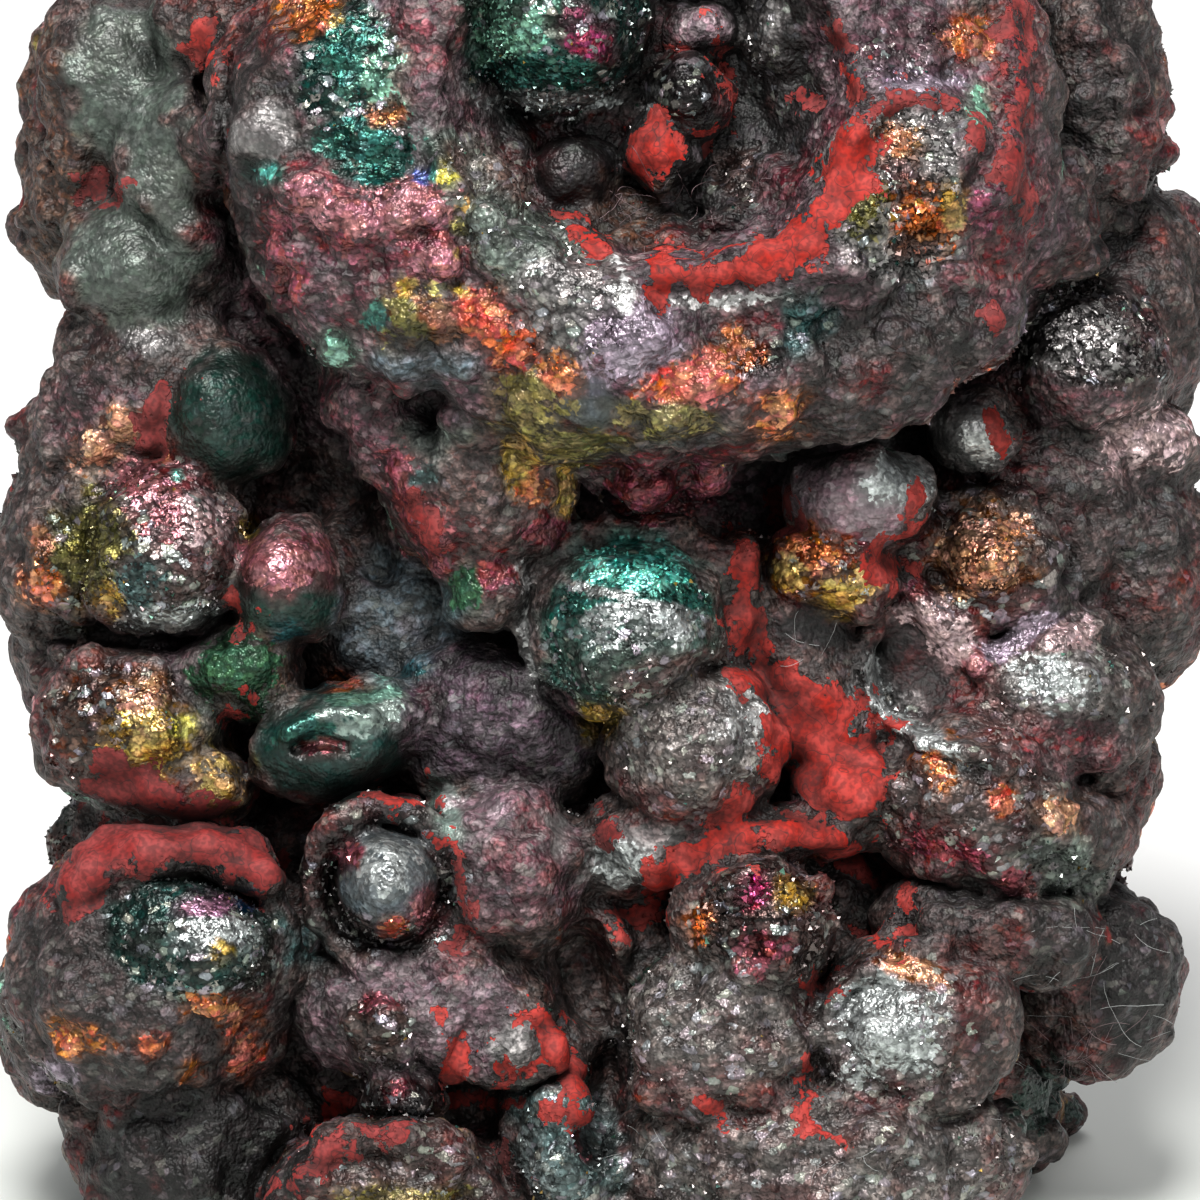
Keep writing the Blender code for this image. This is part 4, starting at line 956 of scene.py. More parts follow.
class Block:
    """The distance from the skin at evenly spaced places in a box, in millimetres, and below zero inside."""

    def __init__(self):
        counts = [int((high - low) / STEP) + 1 for low, high in zip(LOW, HIGH)]
        self.axes = [low + STEP * np.arange(count, dtype=np.float32) for low, count in zip(LOW, counts)]
        self.field = np.full(counts, FAR, np.float32)

    def window(self, centre, reach):
        """The part of the box within a reach of a centre, and the offsets from that centre to its places."""
        slices = []
        for axis, low, middle in zip(self.axes, LOW, centre):
            first = max(0, int((middle - reach - low) / STEP))
            last = max(0, min(len(axis), int((middle + reach - low) / STEP) + 2))
            slices.append(slice(first, last))
        x = (self.axes[0][slices[0]] - centre[0])[:, None, None]
        y = (self.axes[1][slices[1]] - centre[1])[None, :, None]
        z = (self.axes[2][slices[2]] - centre[2])[None, None, :]
        return tuple(slices), x, y, z

    def join(self, window, distance, blend):
        self.field[window] = smooth_least(self.field[window], distance, blend)

    def add_lump(self, centre, radii, blend, roll=0):
        window, x, y, z = self.window(centre, max(radii) + 3 * blend + 1)
        self.join(window, lump_distance(x, y, z, radii, roll), blend)

    def cut_hollow(self, centre, radii, blend, roll=0):
        window, x, y, z = self.window(centre, max(radii) + 3 * blend + 1)
        distance = lump_distance(x, y, z, radii, roll)
        self.field[window] = -smooth_least(-self.field[window], distance, blend)

    def add_collar(self, centre, radii, tube, tip, blend):
        window, x, y, z = self.window(centre, max(radii) + tube + 3 * blend + 1)
        across = np.sqrt((x / radii[0]) ** 2 + (y / radii[1]) ** 2) + 1e-6
        slope = np.sqrt((x / radii[0] ** 2) ** 2 + (y / radii[1] ** 2) ** 2) + 1e-6
        ring = across * (across - 1) / slope
        z = z - tip * y / np.sqrt(x * x + y * y + 1e-6)
        self.join(window, np.sqrt(ring * ring + z * z) - tube, blend)

    def at(self, points):
        """The distance from the skin at any points, read between the places of the box."""
        scaled = (points - np.array(LOW)) / STEP
        base = np.floor(scaled).astype(int).clip(0, np.array(self.field.shape) - 2)
        value = 0.0
        for corner, share in cell_corners((scaled - base).clip(0, 1)):
            value = value + share * self.field[tuple((base + corner).T)]
        return value

    def front(self):
        """How far forward the mass reaches at each right and up place, and far back where nothing is."""
        inside = self.field < 0
        last = inside.shape[2] - 1 - np.argmax(inside[:, :, ::-1], axis=2)
        depth = self.axes[2][last]
        return np.where(inside.any(axis=2), depth, LOW[2])


def smooth_least(first, second, blend):
    """The lesser of two distances, with the crease between them filled softly."""
    share = np.clip(0.5 + 0.5 * (second - first) / blend, 0, 1)
    return second + (first - second) * share - blend * share * (1 - share)


def lump_distance(x, y, z, radii, roll):
    """How far a place is from a lump's skin, near enough: its size in radii over how fast that grows."""
    cos, sin = math.cos(math.radians(roll)), math.sin(math.radians(roll))
    along, across = x * cos + y * sin, y * cos - x * sin
    wide, high, deep = radii
    size = np.sqrt((along / wide) ** 2 + (across / high) ** 2 + (z / deep) ** 2)
    slope = np.sqrt((along / wide ** 2) ** 2 + (across / high ** 2) ** 2 + (z / deep ** 2) ** 2) + 1e-6
    return size * (size - 1) / slope


def seen_at(place):
    """The face place of a spot that the camera sees at a place: what is nearer looks further out."""
    nearer = 1 - place[2] / VIEWING_DISTANCE
    return (place[0] * nearer, place[1] * nearer, place[2])


def face_place(place):
    """An upright place given on the face: right, up and forward."""
    back, rise = place[1] - FACE_SETBACK, place[2] - FACE_MIDDLE_HEIGHT
    return (place[0] - FACE_SHIFT, back * LEAN_SIN + rise * LEAN_COS, rise * LEAN_SIN - back * LEAN_COS)


def upright(points):
    """Face places as places in the frame, in metres."""
    right, up, forward = points[:, 0], points[:, 1], points[:, 2]
    x = FACE_SHIFT + right
    y = FACE_SETBACK + up * LEAN_SIN - forward * LEAN_COS
    z = FACE_MIDDLE_HEIGHT + up * LEAN_COS + forward * LEAN_SIN
    return np.stack([x, y, z], axis=1) * MM


def back_knobs():
    """Rows of knobs round the back and sides, each a little off its row: face places and radii."""
    chance = random.Random(BACK_SEED)
    for row in range(BACK_ROWS):
        share = row / (BACK_ROWS - 1)
        height = BACK_BOTTOM + (BACK_TOP - BACK_BOTTOM) * share
        dome = max(0.0, share - BACK_DOME_START) / BACK_DOME_REACH
        foot = BACK_FOOT_NARROWING + share * (1.0 - BACK_FOOT_NARROWING) / BACK_DOME_START
        girth = min(foot, math.sqrt(1.0 - dome * dome))
        for column in range(BACK_KNOBS_PER_ROW):
            along = (column + 0.5 * (row % 2)) / (BACK_KNOBS_PER_ROW - 0.5)
            turn = math.radians((180.0 + 2 * BACK_WRAP) * along - BACK_WRAP)
            on_row = (
                FACE_SHIFT + 0.5 * BACK_WIDTH * girth * math.cos(turn),
                BACK_CENTRE + BACK_DEPTH * girth * math.sin(turn),
                height,
            )
            place = [at + chance.uniform(-off, off) for at, off in zip(on_row, BACK_KNOB_SHIFT)]
            radius = chance.uniform(*BACK_KNOB_RADII)
            yield face_place(place), (radius, radius, radius * chance.uniform(*BACK_KNOB_STRETCH))


def curve_through(points, steps=7):
    """A smooth line through the points, as many short straight pieces."""
    knots = np.array([points[0]] + list(points) + [points[-1]], dtype=np.float32)
    line = []
    for before, start, end, after in zip(knots, knots[1:], knots[2:], knots[3:]):
        for step in range(steps):
            t = step / steps
            bend = 2 * before - 5 * start + 4 * end - after
            twist = 3 * start - before - 3 * end + after
            line.append(0.5 * (2 * start + (end - before) * t + bend * t * t + twist * t * t * t))
    return np.array(line + [knots[-1]])


def distance_to(line, right, up):
    """How far each place is from a line of straight pieces."""
    least = np.full(right.shape, 99.0, np.float32)
    for start, end in zip(line, line[1:]):
        run = end - start
        length = float(run @ run) + 1e-9
        share = np.clip(((right - start[0]) * run[0] + (up - start[1]) * run[1]) / length, 0, 1)
        away = np.hypot(right - start[0] - share * run[0], up - start[1] - share * run[1])
        np.minimum(least, away, out=least)
    return least


def add_uneven_form(block):
    """Bumps the whole form with smooth noise of three sizes."""
    for cell, height, seed in UNEVENNESS:
        table = random_table(seed)[..., 0]
        for axis, places in enumerate(block.axes):
            scaled = places / cell
            base = np.floor(scaled).astype(int)
            part = eased(scaled - base).reshape([-1 if at == axis else 1 for at in range(3)])
            lower, upper = table.take(base % TABLE, axis=axis), table.take((base + 1) % TABLE, axis=axis)
            table = lower + (upper - lower) * part
        block.field += height * table


def spot_in(oval, chance):
    """A random place in an oval, given as its middle and its radii."""
    middle, radii = oval
    turn, out = chance.uniform(0, 2 * math.pi), math.sqrt(chance.random())
    return (middle[0] + radii[0] * out * math.cos(turn), middle[1] + radii[1] * out * math.sin(turn))


def strewn_knobs():
    """Places that the camera sees, each with the radius of a small knob."""
    chance = random.Random(STREWN_SEED)
    for _, middle, radii, count, sizes in STREWN:
        for _ in range(count):
            place = spot_in((middle, radii), chance)
            yield place, chance.uniform(*sizes)


def depth_at(depth, place):
    """How far forward the mass reaches at a right and up place."""
    column = [int(round((at - low) / STEP)) for at, low in zip(place, LOW)]
    return depth[tuple(min(max(at, 0), size - 1) for at, size in zip(column, depth.shape))]


def add_seen_knob(block, depth, place, radii, stand_out):
    """Sets a knob on whatever the camera sees at a place."""
    right, up = place
    for _ in range(2):
        forward = depth_at(depth, (right, up))
        right, up, _ = seen_at((place[0], place[1], forward))
    if forward < KNOBS_FORWARD_OF:
        return
    deep = KNOB_DEPTH * (radii[0] + radii[1]) / 2
    block.add_lump((right, up, forward + stand_out - deep), (radii[0], radii[1], deep), FINE_BLEND)


def add_relief(block, depth):
    """Raises the ridges and sinks the cracks of the front, each on the surface that the camera sees."""
    nearer = 1 - depth / VIEWING_DISTANCE
    right = block.axes[0][:, None] / nearer
    up = block.axes[1][None, :] / nearer
    rise = np.zeros(depth.shape, np.float32)
    for _, half_width, height, points in RELIEF:
        away = distance_to(curve_through(points), right, up) / half_width
        rise += height * np.clip(1 - away * away, 0, 1) ** RELIEF_ROUNDNESS
    columns = np.nonzero(rise)
    from_front = np.abs(block.axes[2][None, :] - depth[columns][:, None])
    block.field[columns] -= rise[columns][:, None] * np.clip(2 - from_front / RELIEF_REACH, 0, 1)


def strew_sides(block):
    """Sets small knobs all over the sides and the back."""
    rng = np.random.default_rng(SIDE_SEED)
    near_skin = np.argwhere(np.abs(block.field) < 0.5 * STEP)
    forward = block.axes[2][near_skin[:, 2]]
    near_skin = near_skin[forward < SIDE_KNOBS_BEHIND]
    for index in near_skin[rng.integers(0, len(near_skin), SIDE_KNOBS)]:
        place = [axis[at] for axis, at in zip(block.axes, index)]
        radii = rng.uniform(*SIDE_KNOB_RADII) * rng.uniform(*SIDE_KNOB_STRETCH, 3)
        block.add_lump(place, radii, FINE_BLEND)


def cut_base(block):
    """Cuts the mass off flat where it grew."""
    up, forward = block.axes[1][None, :, None], block.axes[2][None, None, :]
    height = FACE_MIDDLE_HEIGHT + up * LEAN_COS + forward * LEAN_SIN
    np.maximum(block.field, -height, out=block.field)


def add_main_forms(block):
    """The lumps, the back, the collars and the hollows with what stands in them."""
    for lumps, blend in BLENDS:
        for _, centre, radii, *roll in lumps:
            block.add_lump(seen_at(centre), radii, blend, *roll)
    for centre, radii in back_knobs():
        block.add_lump(centre, radii, BACK_BLEND)
    for _, centre, radii, tube, tip in COLLARS:
        block.add_collar(seen_at(centre), radii, tube, tip, COLLAR_BLEND)
    for _, centre, radii, *roll in HOLLOWS:
        block.cut_hollow(seen_at(centre), radii, HOLLOW_BLEND, *roll)
    for _, centre, radii, *roll in CRATER_KNOBS:
        block.add_lump(seen_at(centre), radii, COLLAR_BLEND, *roll)


def shaped_block():
    block = Block()
    add_main_forms(block)
    add_uneven_form(block)
    depth = block.front()
    for _, place, radii, stand_out in FINE_KNOBS:
        add_seen_knob(block, depth, place, radii, stand_out)
    for place, radius in strewn_knobs():
        add_seen_knob(block, depth, place, (radius, radius), STREWN_STAND_OUT * radius)
    strew_sides(block)
    add_relief(block, block.front())
    cut_base(block)
    return block


class Skin:
    """The skin in the face's frame: its points, faces and normals, and what the camera sees of it."""

    def __init__(self, block):
        grid = vdb.FloatGrid(FAR)
        grid.copyFromArray(block.field)
        points, _, quads = grid.convertToPolygons(isovalue=0.0, adaptivity=0.0)
        self.quads = quads.astype(np.int32)
        self.points = evened(points * STEP + np.array(LOW, np.float32), self.quads)
        self.normals = normals_of(self.points, self.quads)
        nearer = 1 - self.points[:, 2] / VIEWING_DISTANCE
        self.right = self.points[:, 0] / nearer
        self.up = self.points[:, 1] / nearer
        self.hidden = self.hidden_share()

    def hidden_share(self):
        """0 where the camera sees a point, up to 1 where the mass stands in front or the point faces away."""
        cells = [((at - low) / SIGHT_CELL).astype(int) for at, low in zip((self.right, self.up), LOW)]
        front = np.full([cell.max() + 1 for cell in cells], LOW[2], np.float32)
        np.maximum.at(front, tuple(cells), self.points[:, 2])
        behind = front[tuple(cells)] - self.points[:, 2]
        facing = self.normals[:, 2]
        deep = np.clip((behind - SIGHT_SLACK) / SIGHT_SOFTNESS, 0, 1)
        away = np.clip(-SIGHT_AWAY * facing, 0, 1)
        return np.maximum(deep * np.clip(SIGHT_FACING - facing, 0, 1), away)


def evened(points, quads):
    """Takes the grid's steps out of the skin: each point moves halfway to the middle of its neighbours."""
    beside = [(0, 1), (1, 0), (1, 2), (2, 1), (2, 3), (3, 2), (3, 0), (0, 3)]
    count = sum(np.bincount(quads[:, corner], minlength=len(points)) for corner, _ in beside)[:, None]
    for _ in range(SMOOTHINGS):
        total = np.stack([
            sum(np.bincount(quads[:, corner], points[quads[:, other], axis], len(points))
                for corner, other in beside)
            for axis in range(3)
        ], axis=1)
        moved = 0.5 * points + 0.5 * total / np.maximum(count, 1)
        cut = upright(points)[:, 2] < BASE_MARGIN * MM
        moved[cut] = points[cut]
        points = moved.astype(np.float32)
    return points


def normals_of(points, quads):
    """The way that each point faces, from the quads round it."""
    across = points[quads[:, 2]] - points[quads[:, 0]]
    along = points[quads[:, 3]] - points[quads[:, 1]]
    facing = np.cross(across, along)
    total = np.stack([
        sum(np.bincount(quads[:, corner], facing[:, axis], len(points)) for corner in range(4))
        for axis in range(3)
    ], axis=1)
    return total / (np.linalg.norm(total, axis=1, keepdims=True) + 1e-12)


def oval_amount(skin, place, radii, reach, roll=0):
    """Which points lie near an oval on the face, and how far inside it each lies, in millimetres."""
    size = max(radii) + reach
    near = np.nonzero((np.abs(skin.right - place[0]) < size) & (np.abs(skin.up - place[1]) < size))[0]
    x, y = skin.right[near] - place[0], skin.up[near] - place[1]
    return near, -lump_distance(x, y, 0 * x, (radii[0], radii[1], 1.0), roll)


def stroke_amount(skin, points, half_width, reach):
    """Which points lie near a stroke on the face, and how far inside it each lies, in millimetres."""
    line = curve_through(points)
    low, high = line.min(axis=0) - half_width - reach, line.max(axis=0) + half_width + reach
    inside = (skin.right > low[0]) & (skin.right < high[0]) & (skin.up > low[1]) & (skin.up < high[1])
    near = np.nonzero(inside)[0]
    return near, half_width - distance_to(line, skin.right[near], skin.up[near])


def paint_occlusion_shade(skin, block):
    """Painted shade: how open the skin is at each point, and so how dark it is painted, darkest in crevices
    and under overhangs.
    """
    total = 0.0
    for reach in SHADE_PROBE_REACHES:
        total = total + (block.at(skin.points + skin.normals * reach) / reach).clip(BURIED, 1)
    share = (total / len(SHADE_PROBE_REACHES)).clip(0, 1) ** PAINTED_SHADE_CURVE
    skin.openness = DARKEST_PAINTED_SHADE + (1 - DARKEST_PAINTED_SHADE) * share


def torn_edge(skin):
    """How far the edges of the patches wander, in millimetres."""
    return sum(wave(skin.points, pattern) for pattern in TORN)


def linear(name):
    """A colour of the list as light: its sRGB numbers made linear."""
    return np.array([(part / 255 / 12.92) if part <= 10 else ((part / 255 + 0.055) / 1.055) ** 2.4
                     for part in COLOURS[name]], np.float32)


def picked(marks, count):
    """Which of a count of things each point gets, by the random numbers of its nearest seed."""
    return ((marks[:, 0] * 0.5 + 0.5) * count).astype(int).clip(0, count - 1)


def wild_ground(skin):
    """Colours and finishes for what the camera doesn't see: patches of the colours of the front."""
    bent = skin.points + wave(skin.points, WILD_GROUND_BEND)[:, None]
    _, marks = nearest_seed(bent, *WILD_GROUND_CELLS)
    pick = picked(marks, len(WILD_GROUNDS))
    colours = np.array([linear(colour) for colour, _ in WILD_GROUNDS])
    finishes = np.array([FINISHES[finish] for _, finish in WILD_GROUNDS])
    return colours[pick], finishes[pick]


def paint_ground(skin):
    """Gives each point its ground colour and its finish: gloss, sparkle and grain."""
    colour, finish = wild_ground(skin)
    seen = 1 - skin.hidden
    base_colour, base_finish = linear(BASE_GROUND[0]), np.array(FINISHES[BASE_GROUND[1]])
    in_front = np.clip((skin.points[:, 2] - BASE_GROUND_FROM) / BASE_GROUND_SOFTNESS, 0, 1)
    share = (seen * in_front)[:, None]
    colour = colour + (base_colour - colour) * share
    finish = finish + (base_finish - finish) * share
    torn = torn_edge(skin)
    for _, name, kind, place, radii, *roll in GROUNDS:
        near, amount = oval_amount(skin, place, radii, GROUND_REACH, *roll)
        share = (np.clip((amount + torn[near]) / GROUND_SOFTNESS + 0.5, 0, 1) * seen[near])[:, None]
        colour[near] += (linear(name) - colour[near]) * share
        finish[near] += (np.array(FINISHES[kind]) - finish[near]) * share
    waves = sum(wave(skin.points, pattern) for pattern in RED_DUST_WAVES)
    dust = RED_DUST * finish[:, 2] * np.clip(waves, 0, 1)
    colour = colour + (linear("maroon") - colour) * dust[:, None]
    skin.ground = colour * GROUND_DEPTH
    skin.gloss, skin.sparkle, skin.rugged = finish.T


def paint_over(amount, colour, near, inside, name):
    """Takes a colour wherever its patch lies deeper than what was there before."""
    deeper = inside > amount[near]
    amount[near[deeper]] = inside[deeper]
    colour[near[deeper]] = linear(name)


def wild_blooms(skin):
    """Bright patches for what the camera doesn't see: their colours, and how far inside each point lies."""
    bent = skin.points + wave(skin.points, WILD_BLOOM_BEND)[:, None]
    place, marks = nearest_seed(bent, *WILD_BLOOM_CELLS)
    colour = np.array([linear(name) for name in WILD_BLOOMS])[picked(marks, len(WILD_BLOOMS))]
    size = WILD_BLOOM_SIZE + WILD_BLOOM_SPREAD * marks[:, 1]
    amount = WILD_BLOOM_STEEPNESS * (size - place) + wave(skin.points, WILD_BLOOM_EDGE)
    return colour, np.where(skin.hidden > 0.5, amount, NOWHERE)


def paint_blooms(skin):
    """Gives each point the colour of the bright patch nearest to it, painted highlights and glints among
    them, and how far inside it the point lies.
    """
    colour, amount = wild_blooms(skin)
    torn = torn_edge(skin)
    for _, name, spot, radii, *roll in BLOOMS:
        near, inside = oval_amount(skin, spot, radii, PATCH_REACH, *roll)
        tear = min(1.0, TEAR_START + TEAR_GROWTH * min(radii))
        inside = (inside + tear * torn[near]) / max(tear, LEAST_TEAR) + SMALL_BOOST * (1 - tear)
        paint_over(amount, colour, near, inside - HIDDEN_FADE * skin.hidden[near], name)
    skin.bloom, skin.bloom_amount = colour, amount
    halo = HALO_SHARE * np.clip(1 + amount / HALO_REACH, 0, 1)[:, None]
    skin.ground += (HALO_LIGHT * colour - skin.ground) * halo


def paint_coats(skin):
    """Gives each point the red of the coat nearest to it, and how far inside it the point lies."""
    vein = VEIN_LEVEL - np.abs(wave(skin.points, VEINS)) + wave(skin.points, VEIN_WAVES)
    amount = np.where(skin.hidden > 0.5, VEIN_STEEPNESS * vein - VEIN_THRESHOLD, NOWHERE)
    colour = np.tile(linear("deep red"), (len(skin.points), 1))
    torn = COAT_TEAR * torn_edge(skin)
    for _, name, half_width, line in COATS:
        near, inside = stroke_amount(skin, line, half_width, PATCH_REACH)
        paint_over(amount, colour, near, inside + torn[near] - HIDDEN_FADE * skin.hidden[near], name)
    skin.coat, skin.coat_amount = colour, amount
    covered = np.clip(amount / COAT_SOFTNESS + 0.5, 0, 1)
    skin.gloss *= 1 - covered
    skin.sparkle *= 1 - covered


def folded(points):
    """Rounded folds with sharp valleys between them, and grains over them: their height at each point."""
    height = sum(rise * (np.abs(noise_at(points, size, seed)) - FOLD_MEAN) for size, rise, seed in FOLDS)
    for size, rise, seed in GRAINS:
        away, _ = nearest_seed(points, size, seed)
        height += rise * (GRAIN_MIDDLE - away ** GRAIN_ROUNDNESS)
    return height


def roughen(skin):
    """Raises the rugged skin in folds and grains, with painted shade in the valleys and painted light on the
    ridges, and the coat a little.
    """
    height = folded(skin.points)
    lift = skin.rugged * height * np.clip(1 - skin.coat_amount / COAT_CALM, COAT_LEAST_GRAIN, 1)
    lift += COAT_THICKNESS * np.clip(skin.coat_amount / COAT_RIM, 0, 1)
    lift[upright(skin.points)[:, 2] < BASE_MARGIN * MM] = 0
    # Painted shade in the valleys and painted light on the ridges, by the height of the folds
    light = np.clip(height / VALLEY_DEPTH, -1, RIDGE_PAINTED_LIGHT)
    skin.openness = skin.openness * (1 + VALLEY_PAINTED_SHADE * skin.rugged * light)
    skin.points = skin.points + (skin.normals * lift[:, None]).astype(np.float32)
    skin.normals = normals_of(skin.points, skin.quads)


class Shade:
    """A material under construction: each call adds a node and returns what it puts out."""

    def __init__(self, name):
        self.material = bpy.data.materials.new(name)
        self.material.use_nodes = True
        self.nodes = self.material.node_tree.nodes
        self.shader = self.nodes["Principled BSDF"]

    def feed(self, node, inputs):
        for key, value in inputs.items():
            if isinstance(value, bpy.types.NodeSocket):
                self.material.node_tree.links.new(value, node.inputs[key])
            else:
                node.inputs[key].default_value = value

    def add(self, kind, inputs, **settings):
        node = self.nodes.new("ShaderNode" + kind)
        for key, value in settings.items():
            setattr(node, key, value)
        self.feed(node, inputs)
        return node

    def vector(self, operation, inputs):
        return self.add("VectorMath", inputs, operation=operation).outputs["Vector"]

    def place(self):
        """Places on the piece in millimetres."""
        return self.vector("SCALE", {0: self.add("TexCoord", {}).outputs["Object"], "Scale": 1 / MM})

    def attribute(self, name):
        return self.add("Attribute", {}, attribute_name=name).outputs

    def noise(self, place, size, detail=2.0):
        return self.add("TexNoise", {"Vector": place, "Scale": 1 / size, "Detail": detail}).outputs["Fac"]

    def cells(self, place, size):
        return self.add("TexVoronoi", {"Vector": place, "Scale": 1 / size}).outputs

    def sum(self, first, second, factor=1.0):
        """The first plus the second times a factor."""
        return self.add("Math", {0: second, 1: factor, 2: first}, operation="MULTIPLY_ADD").outputs[0]

    def times(self, first, second):
        return self.add("Math", {0: first, 1: second}, operation="MULTIPLY").outputs[0]

    def less(self, value):
        """One minus a value."""
        return self.add("Math", {0: 1.0, 1: value}, operation="SUBTRACT").outputs[0]

    def most(self, first, second):
        return self.add("Math", {0: first, 1: second}, operation="MAXIMUM").outputs[0]

    def ramp(self, value, low, high, start=0.0, end=1.0):
        inputs = {"Value": value, "From Min": low, "From Max": high, "To Min": start, "To Max": end}
        return self.add("MapRange", inputs, interpolation_type="SMOOTHSTEP").outputs["Result"]

    def span(self, value, start, end):
        """A value from 0 to 1 stretched from start to end."""
        return self.add("MapRange", {"Value": value, "To Min": start, "To Max": end}).outputs["Result"]

    def mix(self, share, first, second):
        """A colour between two others."""
        return self.add("Mix", {0: share, 6: first, 7: second}, data_type="RGBA").outputs[2]

    def blend(self, share, first, second):
        """A number between two others."""
        return self.add("Mix", {0: share, 2: first, 3: second}).outputs[0]

    def shift(self, colour, hue=0.5, saturation=1.0, value=1.0):
        inputs = {"Color": colour, "Hue": hue, "Saturation": saturation, "Value": value}
        return self.add("HueSaturation", inputs).outputs["Color"]

    def bump(self, height, depth, strength=1.0, normal=None):
        """A bump that is depth millimetres high."""
        inputs = {"Height": height, "Distance": depth * MM, "Strength": strength}
        if normal:
            inputs["Normal"] = normal
        return self.add("Bump", inputs).outputs["Normal"]

    def tilted(self, marks, amount):
        """The skin's normal, tipped at random by an amount."""
        centred = self.vector("SUBTRACT", {0: marks, 1: (0.5, 0.5, 0.5)})
        tip = self.vector("SCALE", {0: centred, "Scale": amount})
        total = self.vector("ADD", {0: self.add("NewGeometry", {}).outputs["Normal"], 1: tip})
        return self.vector("NORMALIZE", {0: total})

    def finish(self, **inputs):
        self.feed(self.shader, {key.replace("_", " "): value for key, value in inputs.items()})
        return self.material


class Grain:
    """What the layers of the skin's material share: the skin's own numbers, fine noise and flakes."""

    def __init__(self, shade):
        self.gloss = shade.attribute("gloss")["Fac"]
        self.sparkle = shade.attribute("sparkle")["Fac"]
        self.rugged = shade.attribute("rugged")["Fac"]
        place = shade.place()
        self.speck = shade.noise(place, SPECK_SIZE, 1.0)
        self.cloud = shade.noise(place, CLOUD_SIZE, 1.0)
        wavy = shade.vector("SCALE", {0: self.speck, "Scale": FLAKE_WAVE})
        drawn_out = shade.vector("MULTIPLY_ADD", {0: place, 1: FLAKE_STRETCH, 2: wavy})
        self.flakes = shade.cells(drawn_out, FLAKE_SIZE)
        self.chance = shade.add("SeparateColor", {0: self.flakes["Color"]}).outputs

    def specks(self, shade, dark, light):
        """The fine specks as a factor for brightness."""
        return shade.ramp(self.speck, 0.36, 0.66, dark, light)


def ground_colour(shade, grain):
    """The ground's tint, mottled, with painted glints: pale flakes of any hue where the skin sparkles."""
    mottle = shade.times(grain.specks(shade, 0.5, 1.45), shade.ramp(grain.cloud, 0.34, 0.64, 0.55, 1.4))
    mottle = shade.times(mottle, shade.span(grain.chance[0], 0.45, 1.8))
    mottle = shade.blend(shade.times(grain.gloss, 0.55), mottle, 1.1)
    ground = shade.shift(shade.attribute("tint")["Color"], hue=shade.span(grain.cloud, 0.47, 0.53),
                         saturation=shade.span(grain.chance[1], 0.7, 1.5), value=mottle)
    # Painted glints: a share of the flakes where the skin sparkles takes a pale bright colour, which is also
    # the tint of their metallic reflection
    lit = shade.times(shade.ramp(grain.chance[2], 0.7, 0.97, 0.0, 0.7), grain.sparkle)
    painted_glint_colour = shade.add("CombineColor", {0: grain.chance[1], 1: 0.16, 2: 0.6}, mode="HSV").outputs[0]
    return shade.mix(lit, ground, painted_glint_colour)


def bloom_layer(shade, grain):
    """The bright patches: their colour, and their share, which breaks up into flakes at the edge."""
    value = shade.times(grain.specks(shade, 0.6, 1.1), shade.span(grain.chance[0], 0.6, 1.35))
    colour = shade.shift(shade.attribute("bloom")["Color"], hue=shade.span(grain.chance[1], 0.478, 0.522),
                         saturation=shade.span(grain.cloud, 0.6, 1.2), value=value)
    loose = shade.sum(0.8, grain.sparkle, 1.1)
    over = shade.sum(shade.attribute("bloom_amount")["Fac"], shade.sum(-0.5, grain.chance[0]), loose)
    return colour, shade.ramp(shade.sum(over, shade.sum(-0.5, grain.speck), 1.6), -0.1, 0.15)


def coat_layer(shade, grain):
    """The red coat with its dark cracks: its colour, its share with the bare islands in it, and its film."""
    value = shade.times(grain.specks(shade, 0.62, 1.15), shade.span(grain.cloud, 0.65, 1.3))
    colour = shade.shift(shade.attribute("coat")["Color"], saturation=shade.span(grain.cloud, 1.15, 0.85),
                         value=value)
    crack = shade.add("Math", {0: shade.sum(-0.5, grain.cloud)}, operation="ABSOLUTE").outputs[0]
    colour = shade.mix(shade.ramp(crack, 0.003, 0.012, 0.4, 1.0), CRACK_COLOUR, colour)
    amount = shade.sum(shade.attribute("coat_amount")["Fac"], shade.sum(-0.5, grain.speck), 1.3)
    share = shade.ramp(shade.sum(amount, shade.sum(-0.52, grain.cloud), 3.2), -0.03, 0.05)
    return colour, share, shade.ramp(amount, -0.05, 0.1)


